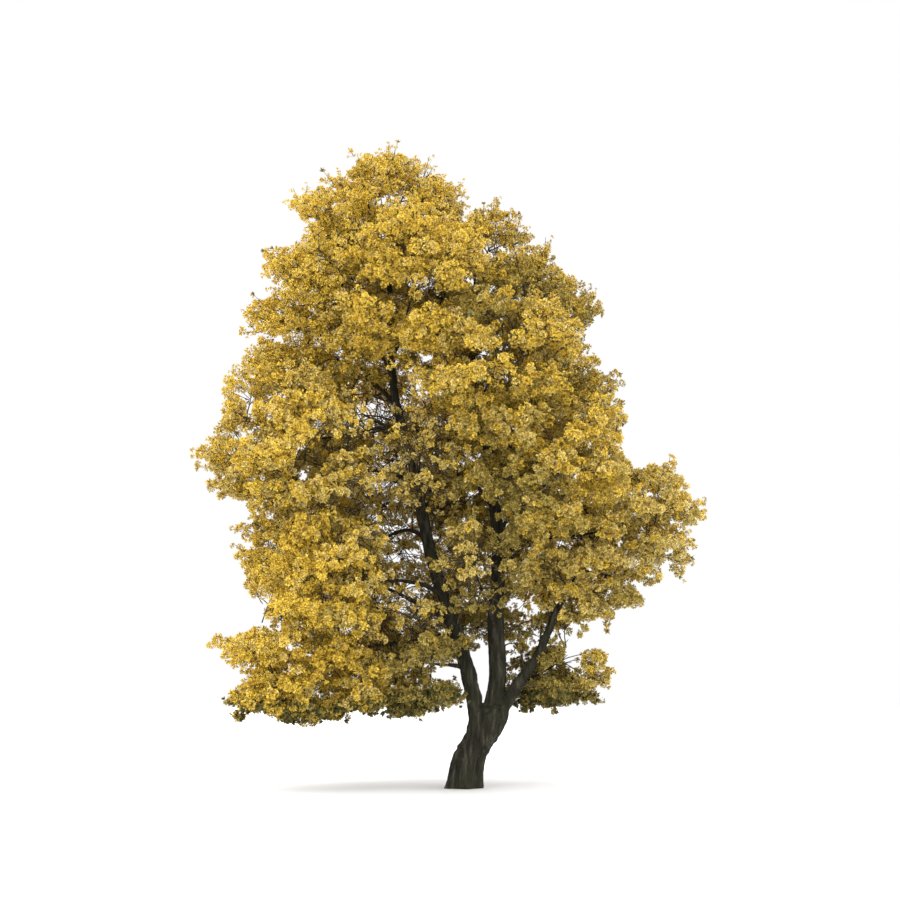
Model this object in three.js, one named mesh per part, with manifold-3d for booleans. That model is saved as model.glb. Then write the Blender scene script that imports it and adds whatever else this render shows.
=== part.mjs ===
// A trumpet tree in full yellow bloom: a short leaning trunk with a root flare, three leaders out
// of one fork, boughs that leave the leaders, and a mass of blossom sprays on twigs at the end of
// each limb. Millimetres, +Z up. The origin is on the ground, under the middle of the trunk, and -Y
// is the tree's front.

import * as THREE from "three";
import { mergeVertices } from "three/addons/utils/BufferGeometryUtils.js";
import Module from "manifold-3d";

const wasm = await Module();
wasm.setup();

// Clear gap between a limb and what grows on it.
const GAP = 0.3;
// Largest shift that tidying a joined solid may give its surface.
const TIDY = 0.4;

// Trunk: a round section that leans right, flares into root lobes and widens across towards the fork.
const TRUNK = {
  name: "trunk",
  height: 1260,
  waist: 248,
  lean: [0, 85, 320, 450],
  flare: 38,
  flareHeight: 190,
  lobes: 5,
  lobeDepth: 0.1,
  lobeTurn: 0.7,
  forkSpread: 0.35,
  shoulder: 0.8,
  footCrowding: 1.5,
  domeTurn: 0.46,
  sides: 18,
  steps: 10,
  domeSteps: 4,
};

// The three leaders, from inside the fork through a few points to the mass that each one carries.
const LEADERS = [
  {
    name: "middle_leader",
    carries: "top_right",
    base: 150,
    tip: 36,
    via: [
      [330, 10, 800],
      [505, 40, 1500],
      [495, 120, 2600],
      [545, 160, 3500],
      [400, 180, 4800],
      [170, 160, 6000],
    ],
  },
  {
    name: "left_leader",
    carries: "crown_top",
    base: 128,
    tip: 38,
    via: [
      [250, -10, 760],
      [120, -30, 1500],
      [-70, -60, 2200],
      [-480, -40, 3450],
      [-760, 10, 4850],
      [-1040, 20, 5900],
    ],
  },
  {
    name: "right_leader",
    carries: "right_low",
    base: 112,
    tip: 40,
    via: [
      [420, 20, 860],
      [780, -20, 1460],
      [1120, -60, 1960],
      [1380, -60, 2560],
    ],
  },
];

// The crown: each mass of blossom, the limb that its bough leaves, at what share of that limb's
// run, the middle of its space across, in depth and in height, and how far it reaches from there.
const CROWN = [
  ["crown_top", "left_leader", 1, -1180, 0, 8440, 1420],
  ["top_right", "middle_leader", 1, 180, 360, 7660, 1420],
  ["right_low", "right_leader", 1, 1850, -120, 3420, 1200],
  ["top_left", "left_leader", 0.84, -1780, -360, 7880, 1360],
  ["shoulder_left", "left_leader", 0.72, -2120, 260, 6700, 1400],
  ["shoulder_right", "middle_leader", 0.82, 800, -320, 6960, 1360],
  ["left", "left_leader", 0.665, -2700, -380, 5180, 1460],
  ["right", "middle_leader", 0.6, 1200, 280, 5600, 1420],
  ["far_right", "middle_leader", 0.42, 2480, -50, 3960, 1240],
  ["left_low", "left_leader", 0.23, -2260, 240, 3460, 1340],
  ["bottom_left", "left_leader", 0.18, -2460, -540, 2020, 1320],
  ["bottom_middle", "left_leader", 0.14, -1000, -480, 1960, 1180],
  ["bottom_right", "right_leader", 0.3, 1400, 400, 1840, 900],
  ["front_top", "left_leader", 0.8, -740, -1360, 7220, 1420],
  ["front_right", "middle_leader", 0.7, 520, -1600, 6080, 1380],
  ["front_side", "middle_leader", 0.48, 1320, -1320, 4600, 1320],
  ["front_left", "left_leader", 0.54, -2200, -1500, 4700, 1160],
  ["front_heart", "left_leader", 0.46, -640, -1060, 4760, 900],
  ["front_low", "left_leader", 0.3, -1960, -1380, 3080, 1100],
  ["front_middle", "middle_leader", 0.24, 160, -1000, 3200, 900],
  ["back_top", "middle_leader", 0.8, -540, 1340, 7500, 1420],
  ["back_left", "left_leader", 0.62, -1760, 1800, 6040, 1420],
  ["back_right", "middle_leader", 0.66, 960, 1840, 6040, 1420],
  ["back_middle", "middle_leader", 0.54, -420, 2320, 5240, 1380],
  ["back_low_left", "left_leader", 0.42, -1680, 1940, 3860, 1380],
  ["back_low_right", "middle_leader", 0.36, 1180, 1720, 3720, 1380],
  ["back_low", "middle_leader", 0.3, 0, 1660, 2820, 1240],
  ["back_bottom", "left_leader", 0.2, -1540, 1340, 2100, 1120],
  ["heart", "left_leader", 0.5, -200, 620, 4300, 840],
];

// Boughs: a bough leaves its limb partly along that limb's run, arches over and ends just inside its mass.
const BOUGH = {
  entry: 0.55,
  thickness: 0.021,
  thinnest: 36,
  thickest: 74,
  tipShare: 0.52,
  parentShare: 0.8,
  follow: 0.75,
  arch: 0.16,
  leavingHandle: 0.36,
  arrivingHandle: 0.34,
  sides: 5,
  steps: 5,
};
// How evenly every limb tapers: 1 is an even taper, and less keeps it thick for longer.
const TAPER = 0.85;
const LEADER_SIDES = 8;
const LEADER_STEPS = 11;

// Blossom masses: a stem on from the bough, main twigs that fan out of it, and sprays of blossom
// along the twigs.
const STEM = {
  end: 0.3,
  bend: 0.4,
  base: 0.9,
  tip: 12,
  sides: 4,
  steps: 3,
};
const TWIG = {
  perSquareMetre: 4,
  fewest: 3,
  reach: 0.6,
  thick: 0.7,
  thin: 9,
  pullBack: 0.5,
  nearestRoot: 0.2,
  sides: 3,
};
const SPRAY = {
  seed: 224,
  perSquareMetre: 5.55,
  triesEach: 90,
  headLength: 300,
  width: 400,
  thickness: 330,
  headAt: 0.2,
  smallest: 0.6,
  largest: 1.2,
  spacing: 540,
  innermost: 0.3,
};

const BARK = new THREE.MeshStandardMaterial({ color: 0x3e392d, roughness: 0.92, metalness: 0 });
const BLOSSOM = new THREE.MeshStandardMaterial({ color: 0xd3a52c, roughness: 0.7, metalness: 0 });

const UP = new THREE.Vector3(0, 0, 1);

// Random numbers from 0 to 1 that are the same every time for one seed.
function seeded(seed) {
  let state = seed >>> 0;
  return () => {
    state = (state + 0x6d2b79f5) >>> 0;
    let mixed = Math.imul(state ^ (state >>> 15), 1 | state);
    mixed = (mixed + Math.imul(mixed ^ (mixed >>> 7), 61 | mixed)) ^ mixed;
    return ((mixed ^ (mixed >>> 14)) >>> 0) / 4294967296;
  };
}

// A closed geometry as a solid that can be joined and cut.
function solidOf(geometry) {
  geometry.deleteAttribute("normal");
  geometry.deleteAttribute("uv");
  const merged = mergeVertices(geometry, 1e-3);
  return new wasm.Manifold(
    new wasm.Mesh({
      numProp: 3,
      vertProperties: merged.attributes.position.array,
      triVerts: new Uint32Array(merged.index.array),
    }),
  );
}

// The largest single body of a solid: loose scraps are dropped and sealed hollows are filled.
function largestBody(solid) {
  const bodies = solid.decompose();
  return bodies.reduce((best, body) => (body.volume() > best.volume() ? body : best));
}

// A solid as a named mesh with a material of its own.
function meshOf(name, solid, material) {
  const { vertProperties, triVerts } = solid.getMesh();
  const geometry = new THREE.BufferGeometry();
  geometry.setAttribute("position", new THREE.BufferAttribute(vertProperties, 3));
  geometry.setIndex(new THREE.BufferAttribute(triVerts, 1));
  geometry.computeVertexNormals();
  const mesh = new THREE.Mesh(geometry, material.clone());
  mesh.name = name;
  return mesh;
}

// A closed tube of unit radius and length, each of whose vertices is put in place by its share of
// the length and its offsets x and z from the axis.
function shapedTube(sides, steps, place) {
  const tube = new THREE.CylinderGeometry(1, 1, 1, sides, steps);
  const position = tube.getAttribute("position");
  const vertex = new THREE.Vector3();
  for (let i = 0; i < position.count; i++) {
    vertex.fromBufferAttribute(position, i);
    const step = Math.round((vertex.y + 0.5) * steps);
    const placed = place(step, vertex.x, vertex.z);
    position.setXYZ(i, placed.x, placed.y, placed.z);
  }
  return tube;
}

// The trunk's middle at a height: a smooth lean from the foot to the fork.
const trunkLean = new THREE.SplineCurve(TRUNK.lean.map((x, i) => new THREE.Vector2(x, i)));

// The trunk's surface at a height and an angle, with room added all round.
function trunkPoint(height, x, z, room) {
  const share = Math.min(height / TRUNK.height, 1);
  const middle = trunkLean.getPoint(share).x;
  const nearGround = Math.exp(-height / TRUNK.flareHeight);
  const angle = Math.atan2(-z, x);
  const lobe = 1 + TRUNK.lobeDepth * nearGround * Math.cos(TRUNK.lobes * angle + TRUNK.lobeTurn);
  const radius = (TRUNK.waist + TRUNK.flare * nearGround) * lobe;
  const across = radius * (1 + TRUNK.forkSpread * share ** 3);
  const full = Math.hypot(x, z);
  const outward = full > 0 ? room / full : 0;
  return new THREE.Vector3(middle + x * (across + outward), -z * (radius + outward), height);
}

// The trunk, its foot a flat cut at the ground and its top rounded over inside the fork.
function trunkSolid(room) {
  const { sides, steps, height, domeSteps } = TRUNK;
  const shoulder = TRUNK.shoulder * height;
  const place = (step, x, z) => {
    const upper = step - (steps - domeSteps);
    if (upper <= 0) {
      const share = step / (steps - domeSteps);
      return trunkPoint(shoulder * share ** TRUNK.footCrowding, x, z, room);
    }
    const turn = (upper / domeSteps) * TRUNK.domeTurn * Math.PI;
    const shrink = Math.cos(turn);
    const rise = shoulder + (height - shoulder + room) * Math.sin(turn);
    return trunkPoint(rise, x * shrink, z * shrink, room);
  };
  return solidOf(shapedTube(sides, steps, place));
}

// A limb's radius at a share of its run.
function limbRadius(limb, share) {
  return limb.tip + (limb.base - limb.tip) * (1 - share) ** TAPER;
}

// A limb, or a stem or twig, as a tapering tube along its curve, with room added all round.
function limbSolid(limb, room) {
  const { curve, sides, steps } = limb;
  const frames = curve.computeFrenetFrames(steps, false);
  const place = (step, x, z) => {
    const radius = limbRadius(limb, step / steps) + room;
    const point = curve.getPointAt(step / steps);
    point.addScaledVector(frames.binormals[step], x * radius);
    return point.addScaledVector(frames.normals[step], z * radius);
  };
  return solidOf(shapedTube(sides, steps, place));
}

// Each row of the crown as a named mass with its middle and its reach.
const masses = CROWN.map(([name, from, at, across, deep, up, reach]) => {
  const centre = new THREE.Vector3(across, deep, up);
  return { name, from, at, centre, reach };
});

// Where a limb that comes from a point ends: just inside the mass that it carries.
function entryPoint(mass, from) {
  const towards = mass.centre.clone().sub(from).normalize();
  return mass.centre.clone().addScaledVector(towards, -BOUGH.entry * mass.reach);
}

function leaderLimb({ name, carries, base, tip, via }) {
  const points = via.map((point) => new THREE.Vector3(...point));
  const mass = masses.find((one) => one.name === carries);
  points.push(entryPoint(mass, points.at(-1)));
  const curve = new THREE.CatmullRomCurve3(points);
  return { name, curve, base, tip, sides: LEADER_SIDES, steps: LEADER_STEPS, mass };
}

function boughLimb(mass, parent) {
  const start = parent.curve.getPointAt(mass.at);
  const run = parent.curve.getTangentAt(mass.at);
  const end = entryPoint(mass, start);
  const length = start.distanceTo(end);
  const across = end.clone().sub(start).normalize();
  const leaving = across.clone().addScaledVector(run, BOUGH.follow).normalize();
  const arriving = across.clone().addScaledVector(UP, -BOUGH.arch).normalize();
  const curve = new THREE.CubicBezierCurve3(
    start,
    start.clone().addScaledVector(leaving, length * BOUGH.leavingHandle),
    end.clone().addScaledVector(arriving, length * -BOUGH.arrivingHandle),
    end,
  );
  const room = limbRadius(parent, mass.at) * BOUGH.parentShare;
  const wanted = THREE.MathUtils.clamp(BOUGH.thickness * length, BOUGH.thinnest, BOUGH.thickest);
  const base = Math.min(wanted, room);
  const { sides, steps } = BOUGH;
  return { name: `bough_${mass.name}`, curve, base, tip: base * BOUGH.tipShare, sides, steps, mass };
}

// All limbs, leaders first, so that every bough finds the limb that it leaves.
function growLimbs() {
  const limbs = LEADERS.map(leaderLimb);
  for (const mass of masses) {
    if (mass.at === 1) continue;
    const parent = limbs.find((limb) => limb.name === mass.from);
    limbs.push(boughLimb(mass, parent));
  }
  return limbs;
}

// The stem that carries on from a limb's tip into its mass.
function stemOf(limb) {
  const tip = limb.curve.getPointAt(1);
  const run = limb.curve.getTangentAt(1);
  const { centre, reach } = limb.mass;
  const start = tip.clone().addScaledVector(run, GAP);
  const beyond = centre.clone().sub(tip).normalize();
  const end = centre.clone().addScaledVector(beyond, STEM.end * reach);
  const bend = start.clone().addScaledVector(run, start.distanceTo(end) * STEM.bend);
  const curve = new THREE.QuadraticBezierCurve3(start, bend, end);
  return { curve, base: limb.tip * STEM.base, tip: STEM.tip, sides: STEM.sides, steps: STEM.steps };
}

// A stem as short straight lines for twigs and sprays to leave.
function linesOf(limb) {
  const points = limb.curve.getPoints(limb.steps);
  return points.slice(1).map((end, i) => new THREE.Line3(points[i], end));
}

const nearest = new THREE.Vector3();

// Whether a point keeps to a mass's own space: within its reach, and on its side of the plane to
// each neighbour.
function inOwnSpace(mass, point) {
  const depth = mass.centre.distanceToSquared(point) - mass.reach ** 2;
  if (depth > 0) return false;
  return masses.every((other) => {
    if (other === mass) return true;
    const otherDepth = other.centre.distanceToSquared(point) - other.reach ** 2;
    return otherDepth - depth > 2 * GAP * other.centre.distanceTo(mass.centre);
  });
}

// A spray of blossom: an eight-sided head that tapers back to its root on a twig.
function sprayGeometry(root, head, size, roll) {
  const along = head.clone().sub(root);
  const length = along.length() + SPRAY.headLength * size;
  const spray = new THREE.OctahedronGeometry(1);
  spray.scale(SPRAY.width * size, length / 2, SPRAY.thickness * size);
  const position = spray.getAttribute("position");
  for (let i = 0; i < position.count; i++) {
    if (Math.abs(position.getY(i)) < 1) position.setY(i, (length / 2) * SPRAY.headAt);
  }
  spray.translate(0, length / 2, 0).rotateY(roll);
  const turn = new THREE.Quaternion().setFromUnitVectors(new THREE.Vector3(0, 1, 0), along.normalize());
  return spray.applyQuaternion(turn).translate(root.x, root.y, root.z);
}

// The square of a mass's reach, in square metres.
function squareMetres(mass) {
  return (mass.reach / 1000) ** 2;
}

// The corners of a geometry.
function cornersOf(geometry) {
  const position = geometry.getAttribute("position");
  return Array.from({ length: position.count }, (_, i) =>
    new THREE.Vector3().fromBufferAttribute(position, i),
  );
}

// Steps by powers of this share of 1 fill a box of three sides evenly.
const EVEN_STEP = 0.8191725134;
// Turns by this share of a full turn never line up.
const GOLDEN_TURN = 0.618034;

// A direction from two numbers from 0 to 1, even over the whole sphere.
function directionOf(heightShare, turnShare) {
  const height = 1 - 2 * heightShare;
  const level = Math.sqrt(1 - height * height);
  const angle = 2 * Math.PI * turnShare;
  return new THREE.Vector3(level * Math.cos(angle), level * Math.sin(angle), height);
}

// Whether a solid touches any of some pieces of wood.
function touches(solid, wood) {
  return wood.some((piece) => !solid.intersect(piece).isEmpty());
}

// Where a twig or spray for a point leaves the twigs that are there: the nearest place, pulled back
// so that it grows forwards.
function rootFor(twigs, point) {
  let best = { distance: Infinity };
  for (const twig of twigs) {
    const share = twig.closestPointToPointParameter(point, true);
    const distance = twig.at(share, nearest).distanceTo(point);
    if (distance < best.distance) best = { twig, share, distance };
  }
  const { twig, share, distance } = best;
  const pulled = share - (TWIG.pullBack * distance) / twig.distance();
  return twig.at(Math.max(pulled, TWIG.nearestRoot), new THREE.Vector3());
}

// The main twigs of a mass, fanned out evenly from its stem.
function mainTwigs(mass, stemLines, thick, wood, random) {
  const count = Math.max(TWIG.fewest, Math.round(TWIG.perSquareMetre * squareMetres(mass)));
  const turn = random();
  const twigs = [];
  for (let i = 0; i < count; i++) {
    const direction = directionOf((i + 0.5) / count, turn + i * GOLDEN_TURN);
    const end = mass.centre.clone().addScaledVector(direction, TWIG.reach * mass.reach);
    const line = new THREE.Line3(rootFor(stemLines, end), end);
    const curve = new THREE.LineCurve3(line.start, line.end);
    const solid = limbSolid({ curve, base: thick, tip: TWIG.thin, sides: TWIG.sides, steps: 1 }, 0);
    if (inOwnSpace(mass, end) && !touches(solid, wood)) twigs.push({ line, solid });
  }
  return twigs;
}

// The sprays of a mass: seeded tries that keep to its space, off the limbs and apart from each other.
function massSprays(mass, twigs, wood, random) {
  const wanted = Math.round(SPRAY.perSquareMetre * squareMetres(mass));
  const tries = wanted * SPRAY.triesEach;
  const heads = [];
  const sprays = [];
  const start = random();
  for (let i = 0; i < tries; i++) {
    const even = (axis) => (start + (i + 1) * EVEN_STEP ** axis) % 1;
    const direction = directionOf(even(1), even(2));
    const size = THREE.MathUtils.lerp(SPRAY.largest, SPRAY.smallest, i / tries);
    const outermost = 1 - (SPRAY.headLength * size) / mass.reach;
    const share = THREE.MathUtils.lerp(SPRAY.innermost, outermost, Math.cbrt(even(3)));
    const roll = Math.PI * random();
    const head = mass.centre.clone().addScaledVector(direction, share * mass.reach);
    const full = sprays.length >= wanted;
    if (full || heads.some((other) => other.distanceTo(head) < SPRAY.spacing * size)) continue;
    const root = rootFor(twigs, head);
    const spray = sprayGeometry(root, head, size, roll);
    if (!cornersOf(spray).every((corner) => inOwnSpace(mass, corner))) continue;
    const solid = solidOf(spray);
    if (touches(solid, wood)) continue;
    heads.push(head);
    sprays.push(solid);
  }
  return sprays;
}

// A mass of blossom: its stem, its main twigs and its sprays as one solid, clear of the wood given.
function growMass(limb, stem, wood, seed) {
  const { mass } = limb;
  const random = seeded(seed);
  const stemLines = linesOf(stem);
  const twigs = mainTwigs(mass, stemLines, limb.tip * TWIG.thick, wood, random);
  const lines = [...stemLines, ...twigs.map(({ line }) => line)];
  const sprays = massSprays(mass, lines, wood, random);
  const solids = [limbSolid(stem, 0), ...twigs.map(({ solid }) => solid), ...sprays];
  return largestBody(wasm.Manifold.union(solids).simplify(TIDY));
}

// The whole tree: limbs, each cut clear of the limbs made before it, then the masses on their tips.
function growTree() {
  const tree = new THREE.Group();
  const limbs = growLimbs();
  const cutters = [trunkSolid(GAP)];
  tree.add(meshOf(TRUNK.name, trunkSolid(0), BARK));
  for (const limb of limbs) {
    const cut = wasm.Manifold.difference([limbSolid(limb, 0), ...cutters]);
    tree.add(meshOf(limb.name, largestBody(cut.simplify(GAP / 4)), BARK));
    cutters.push(limbSolid(limb, GAP));
  }
  const limbWood = wasm.Manifold.union(cutters);
  const stems = limbs.map(stemOf);
  const stemSolids = stems.map((stem) => limbSolid(stem, GAP));
  limbs.forEach((limb, i) => {
    const wood = [limbWood, ...stemSolids.filter((_, other) => other !== i)];
    const solid = growMass(limb, stems[i], wood, SPRAY.seed + i);
    tree.add(meshOf(`blossom_${limb.mass.name}`, solid, BLOSSOM));
  });
  return tree;
}

export default growTree();
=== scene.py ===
# %% [markdown]
# # A trumpet tree in yellow bloom
# The imported solids give this tree its limbs and the space of every blossom mass. They are plain on purpose.
# In this lesson the finished tree grows over them: bark with relief, fine twigs, round heads of trumpet
# flowers and a few leaves. The frame is loaded first and stays fixed, and its box is measured, because the
# finished heads and leaves keep within it.

import math

import bpy
import numpy as np
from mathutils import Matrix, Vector, noise


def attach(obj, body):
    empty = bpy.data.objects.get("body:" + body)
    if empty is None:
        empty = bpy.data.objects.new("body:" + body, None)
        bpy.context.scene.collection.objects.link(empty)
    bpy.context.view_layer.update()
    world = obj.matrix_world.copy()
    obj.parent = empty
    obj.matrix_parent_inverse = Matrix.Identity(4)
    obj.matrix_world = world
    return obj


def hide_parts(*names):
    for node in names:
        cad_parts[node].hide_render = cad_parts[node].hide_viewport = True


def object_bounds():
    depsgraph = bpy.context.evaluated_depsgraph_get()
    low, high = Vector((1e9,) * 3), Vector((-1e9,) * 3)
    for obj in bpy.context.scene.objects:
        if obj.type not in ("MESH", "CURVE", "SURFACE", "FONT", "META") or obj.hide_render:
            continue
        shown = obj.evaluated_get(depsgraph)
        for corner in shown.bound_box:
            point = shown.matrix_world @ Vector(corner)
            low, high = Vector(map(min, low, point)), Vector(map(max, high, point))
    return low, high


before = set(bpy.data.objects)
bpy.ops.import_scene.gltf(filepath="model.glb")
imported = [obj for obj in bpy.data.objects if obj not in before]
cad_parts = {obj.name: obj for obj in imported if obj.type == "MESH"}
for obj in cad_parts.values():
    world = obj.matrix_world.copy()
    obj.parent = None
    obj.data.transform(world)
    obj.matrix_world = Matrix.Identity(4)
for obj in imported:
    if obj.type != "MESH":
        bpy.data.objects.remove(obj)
cad_box = [list(corner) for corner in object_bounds()]
print("solids:", len(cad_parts), "box:", np.round(cad_box, 3).tolist())

# %% [markdown]
# ## The tree's measures
# A tree looks grown when everything follows from a few measures. The leaders are short lists of points that
# the limb runs through. Each blossom mass is a row: its name, the limb that its bough leaves, at what share
# of that limb's run, the middle of its space and its reach. These are the same rules and sizes as the
# solids have, so the finished twigs end up in the same places.

# %% Measures of the wood, in millimetres
MM = 0.001

TRUNK = dict(height=1260, waist=248, lean=(0, 85, 320, 450), flare=38, flare_height=190, lobes=5,
             lobe_depth=0.1, lobe_turn=0.7, fork_spread=0.35, shoulder=0.8, foot_crowding=1.5, dome_turn=0.46)

LEADERS = {
    "middle_leader": dict(
        carries="top_right", base=150, tip=36,
        via=[(330, 10, 800), (505, 40, 1500), (495, 120, 2600), (545, 160, 3500), (400, 180, 4800),
             (170, 160, 6000)],
    ),
    "left_leader": dict(
        carries="crown_top", base=128, tip=38,
        via=[(250, -10, 760), (120, -30, 1500), (-70, -60, 2200), (-480, -40, 3450), (-760, 10, 4850),
             (-1040, 20, 5900)],
    ),
    "right_leader": dict(
        carries="right_low", base=112, tip=40,
        via=[(420, 20, 860), (780, -20, 1460), (1120, -60, 1960), (1380, -60, 2560)],
    ),
}

BOUGH = dict(entry=0.55, thickness=0.021, thinnest=36, thickest=74, tip_share=0.52, parent_share=0.8,
             follow=0.75, arch=0.16, leaving_handle=0.36, arriving_handle=0.34)
TAPER = 0.85

# %% Measures of the crown, in millimetres
CROWN = [
    ("crown_top", "left_leader", 1, -1180, 0, 8440, 1420),
    ("top_right", "middle_leader", 1, 180, 360, 7660, 1420),
    ("right_low", "right_leader", 1, 1850, -120, 3420, 1200),
    ("top_left", "left_leader", 0.84, -1780, -360, 7880, 1360),
    ("shoulder_left", "left_leader", 0.72, -2120, 260, 6700, 1400),
    ("shoulder_right", "middle_leader", 0.82, 800, -320, 6960, 1360),
    ("left", "left_leader", 0.665, -2700, -380, 5180, 1460),
    ("right", "middle_leader", 0.6, 1200, 280, 5600, 1420),
    ("far_right", "middle_leader", 0.42, 2480, -50, 3960, 1240),
    ("left_low", "left_leader", 0.23, -2260, 240, 3460, 1340),
    ("bottom_left", "left_leader", 0.18, -2460, -540, 2020, 1320),
    ("bottom_middle", "left_leader", 0.14, -1000, -480, 1960, 1180),
    ("bottom_right", "right_leader", 0.3, 1400, 400, 1840, 900),
    ("front_top", "left_leader", 0.8, -740, -1360, 7220, 1420),
    ("front_right", "middle_leader", 0.7, 520, -1600, 6080, 1380),
    ("front_side", "middle_leader", 0.48, 1320, -1320, 4600, 1320),
    ("front_left", "left_leader", 0.54, -2200, -1500, 4700, 1160),
    ("front_heart", "left_leader", 0.46, -640, -1060, 4760, 900),
    ("front_low", "left_leader", 0.3, -1960, -1380, 3080, 1100),
    ("front_middle", "middle_leader", 0.24, 160, -1000, 3200, 900),
    ("back_top", "middle_leader", 0.8, -540, 1340, 7500, 1420),
    ("back_left", "left_leader", 0.62, -1760, 1800, 6040, 1420),
    ("back_right", "middle_leader", 0.66, 960, 1840, 6040, 1420),
    ("back_middle", "middle_leader", 0.54, -420, 2320, 5240, 1380),
    ("back_low_left", "left_leader", 0.42, -1680, 1940, 3860, 1380),
    ("back_low_right", "middle_leader", 0.36, 1180, 1720, 3720, 1380),
    ("back_low", "middle_leader", 0.3, 0, 1660, 2820, 1240),
    ("back_bottom", "left_leader", 0.2, -1540, 1340, 2100, 1120),
    ("heart", "left_leader", 0.5, -200, 620, 4300, 840),
]

STEM = dict(end=0.3, bend=0.4, base=0.9, tip=12)
TWIG = dict(per_square_metre=4, fewest=3, reach=0.6, thick=0.7, thin=9, pull_back=0.5, nearest_root=0.2)
SPRAY = dict(seed=224, per_square_metre=5.55, tries_each=90, head_length=300, width=400, thickness=330,
             head_at=0.2, smallest=0.6, largest=1.2, spacing=540, innermost=0.3)

mass_names = [row[0] for row in CROWN]
mass_centres = np.array([row[3:6] for row in CROWN], float) * MM
mass_reaches = np.array([row[6] for row in CROWN], float) * MM
print("masses:", len(CROWN), "mean reach:", round(float(mass_reaches.mean()), 2), "m")

# %% [markdown]
# ## Smooth runs for the limbs
# A limb is a line with a thickness. Curve objects could hold it, but plain arrays are easier to measure
# distances from, and later every twig has to find the nearest limb. The leaders use a centripetal spline,
# which never loops or overshoots between its points. The boughs are Bezier curves, whose two handles say
# how a bough leaves its limb and how it arrives.

# %% Curves as arrays of points
SPLINE_STEPS = 60
BEZIER_STEPS = 120


def unit(vector):
    """The same direction at length one, for one vector or rows of them."""
    return vector / np.linalg.norm(vector, axis=-1, keepdims=True)


def even_run(points, count):
    """A line of points set at even distances along another."""
    reach = np.concatenate([[0], np.cumsum(np.linalg.norm(np.diff(points, axis=0), axis=1))])
    wanted = np.linspace(0, reach[-1], count)
    return np.stack([np.interp(wanted, reach, points[:, axis]) for axis in range(3)], axis=1)


def spline_run(points, count):
    """A smooth centripetal spline through the points."""
    points = np.asarray(points, float)
    padded = np.vstack([2 * points[0] - points[1], points, 2 * points[-1] - points[-2]])
    share = np.linspace(0, 1, SPLINE_STEPS)[:, None]
    pieces = []
    for before, start, end, after in zip(padded, padded[1:], padded[2:], padded[3:]):
        gap_0, gap_1, gap_2 = (math.sqrt(np.linalg.norm(b - a))
                               for a, b in ((before, start), (start, end), (end, after)))
        leaving = (start - before) / gap_0 - (end - before) / (gap_0 + gap_1) + (end - start) / gap_1
        arriving = (end - start) / gap_1 - (after - start) / (gap_1 + gap_2) + (after - end) / gap_2
        leaving, arriving = leaving * gap_1, arriving * gap_1
        cubic = 2 * start - 2 * end + leaving + arriving
        square = -3 * start + 3 * end - 2 * leaving - arriving
        pieces.append(start + leaving * share + square * share**2 + cubic * share**3)
    return even_run(np.vstack(pieces), count)


def bezier_run(corners, count):
    """A Bezier curve from its corners, by repeated mixing."""
    share = np.linspace(0, 1, BEZIER_STEPS)[:, None]
    levels = [np.repeat(corner[None], len(share), axis=0) for corner in corners]
    while len(levels) > 1:
        levels = [a * (1 - share) + b * share for a, b in zip(levels, levels[1:])]
    return even_run(levels[0], count)


# %% [markdown]
# ## The limbs
# The three leaders come out of the fork, and every other mass gets a bough. A bough starts on its limb's
# middle line, leaves partly along that limb, arches over and ends inside its mass. A stem then carries on
# into the mass. In the finished tree a bough and its stem are one unbroken limb.

# %% Grow the leaders and boughs
RUN_POINTS = 81


def limb_radius(base, tip, count=RUN_POINTS):
    """A limb's taper from base to tip."""
    return tip + (base - tip) * (1 - np.linspace(0, 1, count)) ** TAPER


def entry_point(mass, start):
    """Where a limb that comes from a point enters its mass."""
    return mass_centres[mass] - unit(mass_centres[mass] - start) * BOUGH["entry"] * mass_reaches[mass]


def leader_limb(name, facts):
    mass = mass_names.index(facts["carries"])
    points = np.array(facts["via"], float) * MM
    points = np.vstack([points, entry_point(mass, points[-1])])
    radius = limb_radius(facts["base"] * MM, facts["tip"] * MM)
    return dict(name=name, mass=mass, line=spline_run(points, RUN_POINTS), radius=radius)


def bough_limb(mass, parent, at):
    step = round(at * (RUN_POINTS - 1))
    start = parent["line"][step]
    run = unit(parent["line"][step + 1] - parent["line"][step - 1])
    end = entry_point(mass, start)
    length = np.linalg.norm(end - start)
    across = unit(end - start)
    leaving = unit(across + run * BOUGH["follow"])
    arriving = unit(across - np.array([0, 0, BOUGH["arch"]]))
    first_handle = start + leaving * length * BOUGH["leaving_handle"]
    last_handle = end - arriving * length * BOUGH["arriving_handle"]
    line = bezier_run([start, first_handle, last_handle, end], RUN_POINTS)
    wanted = np.clip(BOUGH["thickness"] * length, BOUGH["thinnest"] * MM, BOUGH["thickest"] * MM)
    base = min(wanted, parent["radius"][step] * BOUGH["parent_share"])
    radius = limb_radius(base, base * BOUGH["tip_share"])
    return dict(name="bough_" + mass_names[mass], mass=mass, line=line, radius=radius)


limbs = [leader_limb(name, facts) for name, facts in LEADERS.items()]
limb_named = {limb["name"]: limb for limb in limbs}
for mass, (_, grows_from, at, *_) in enumerate(CROWN):
    if at < 1:
        limb = bough_limb(mass, limb_named[grows_from], at)
        limb_named[limb["name"]] = limb
        limbs.append(limb)
lengths = [np.linalg.norm(np.diff(limb["line"], axis=0), axis=1).sum() for limb in limbs]
print("limbs:", len(limbs), "longest:", round(max(lengths), 2), "m")

# %% [markdown]
# ## Stems
# A limb does not stop where the blossom starts. Its stem bends on towards the far side of the mass and
# thins out, and the twigs of that mass leave it. A Bezier curve with one handle is enough for so short a
# run.

# %% Carry each limb on as a stem inside its mass
STEM_POINTS = 13


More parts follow.
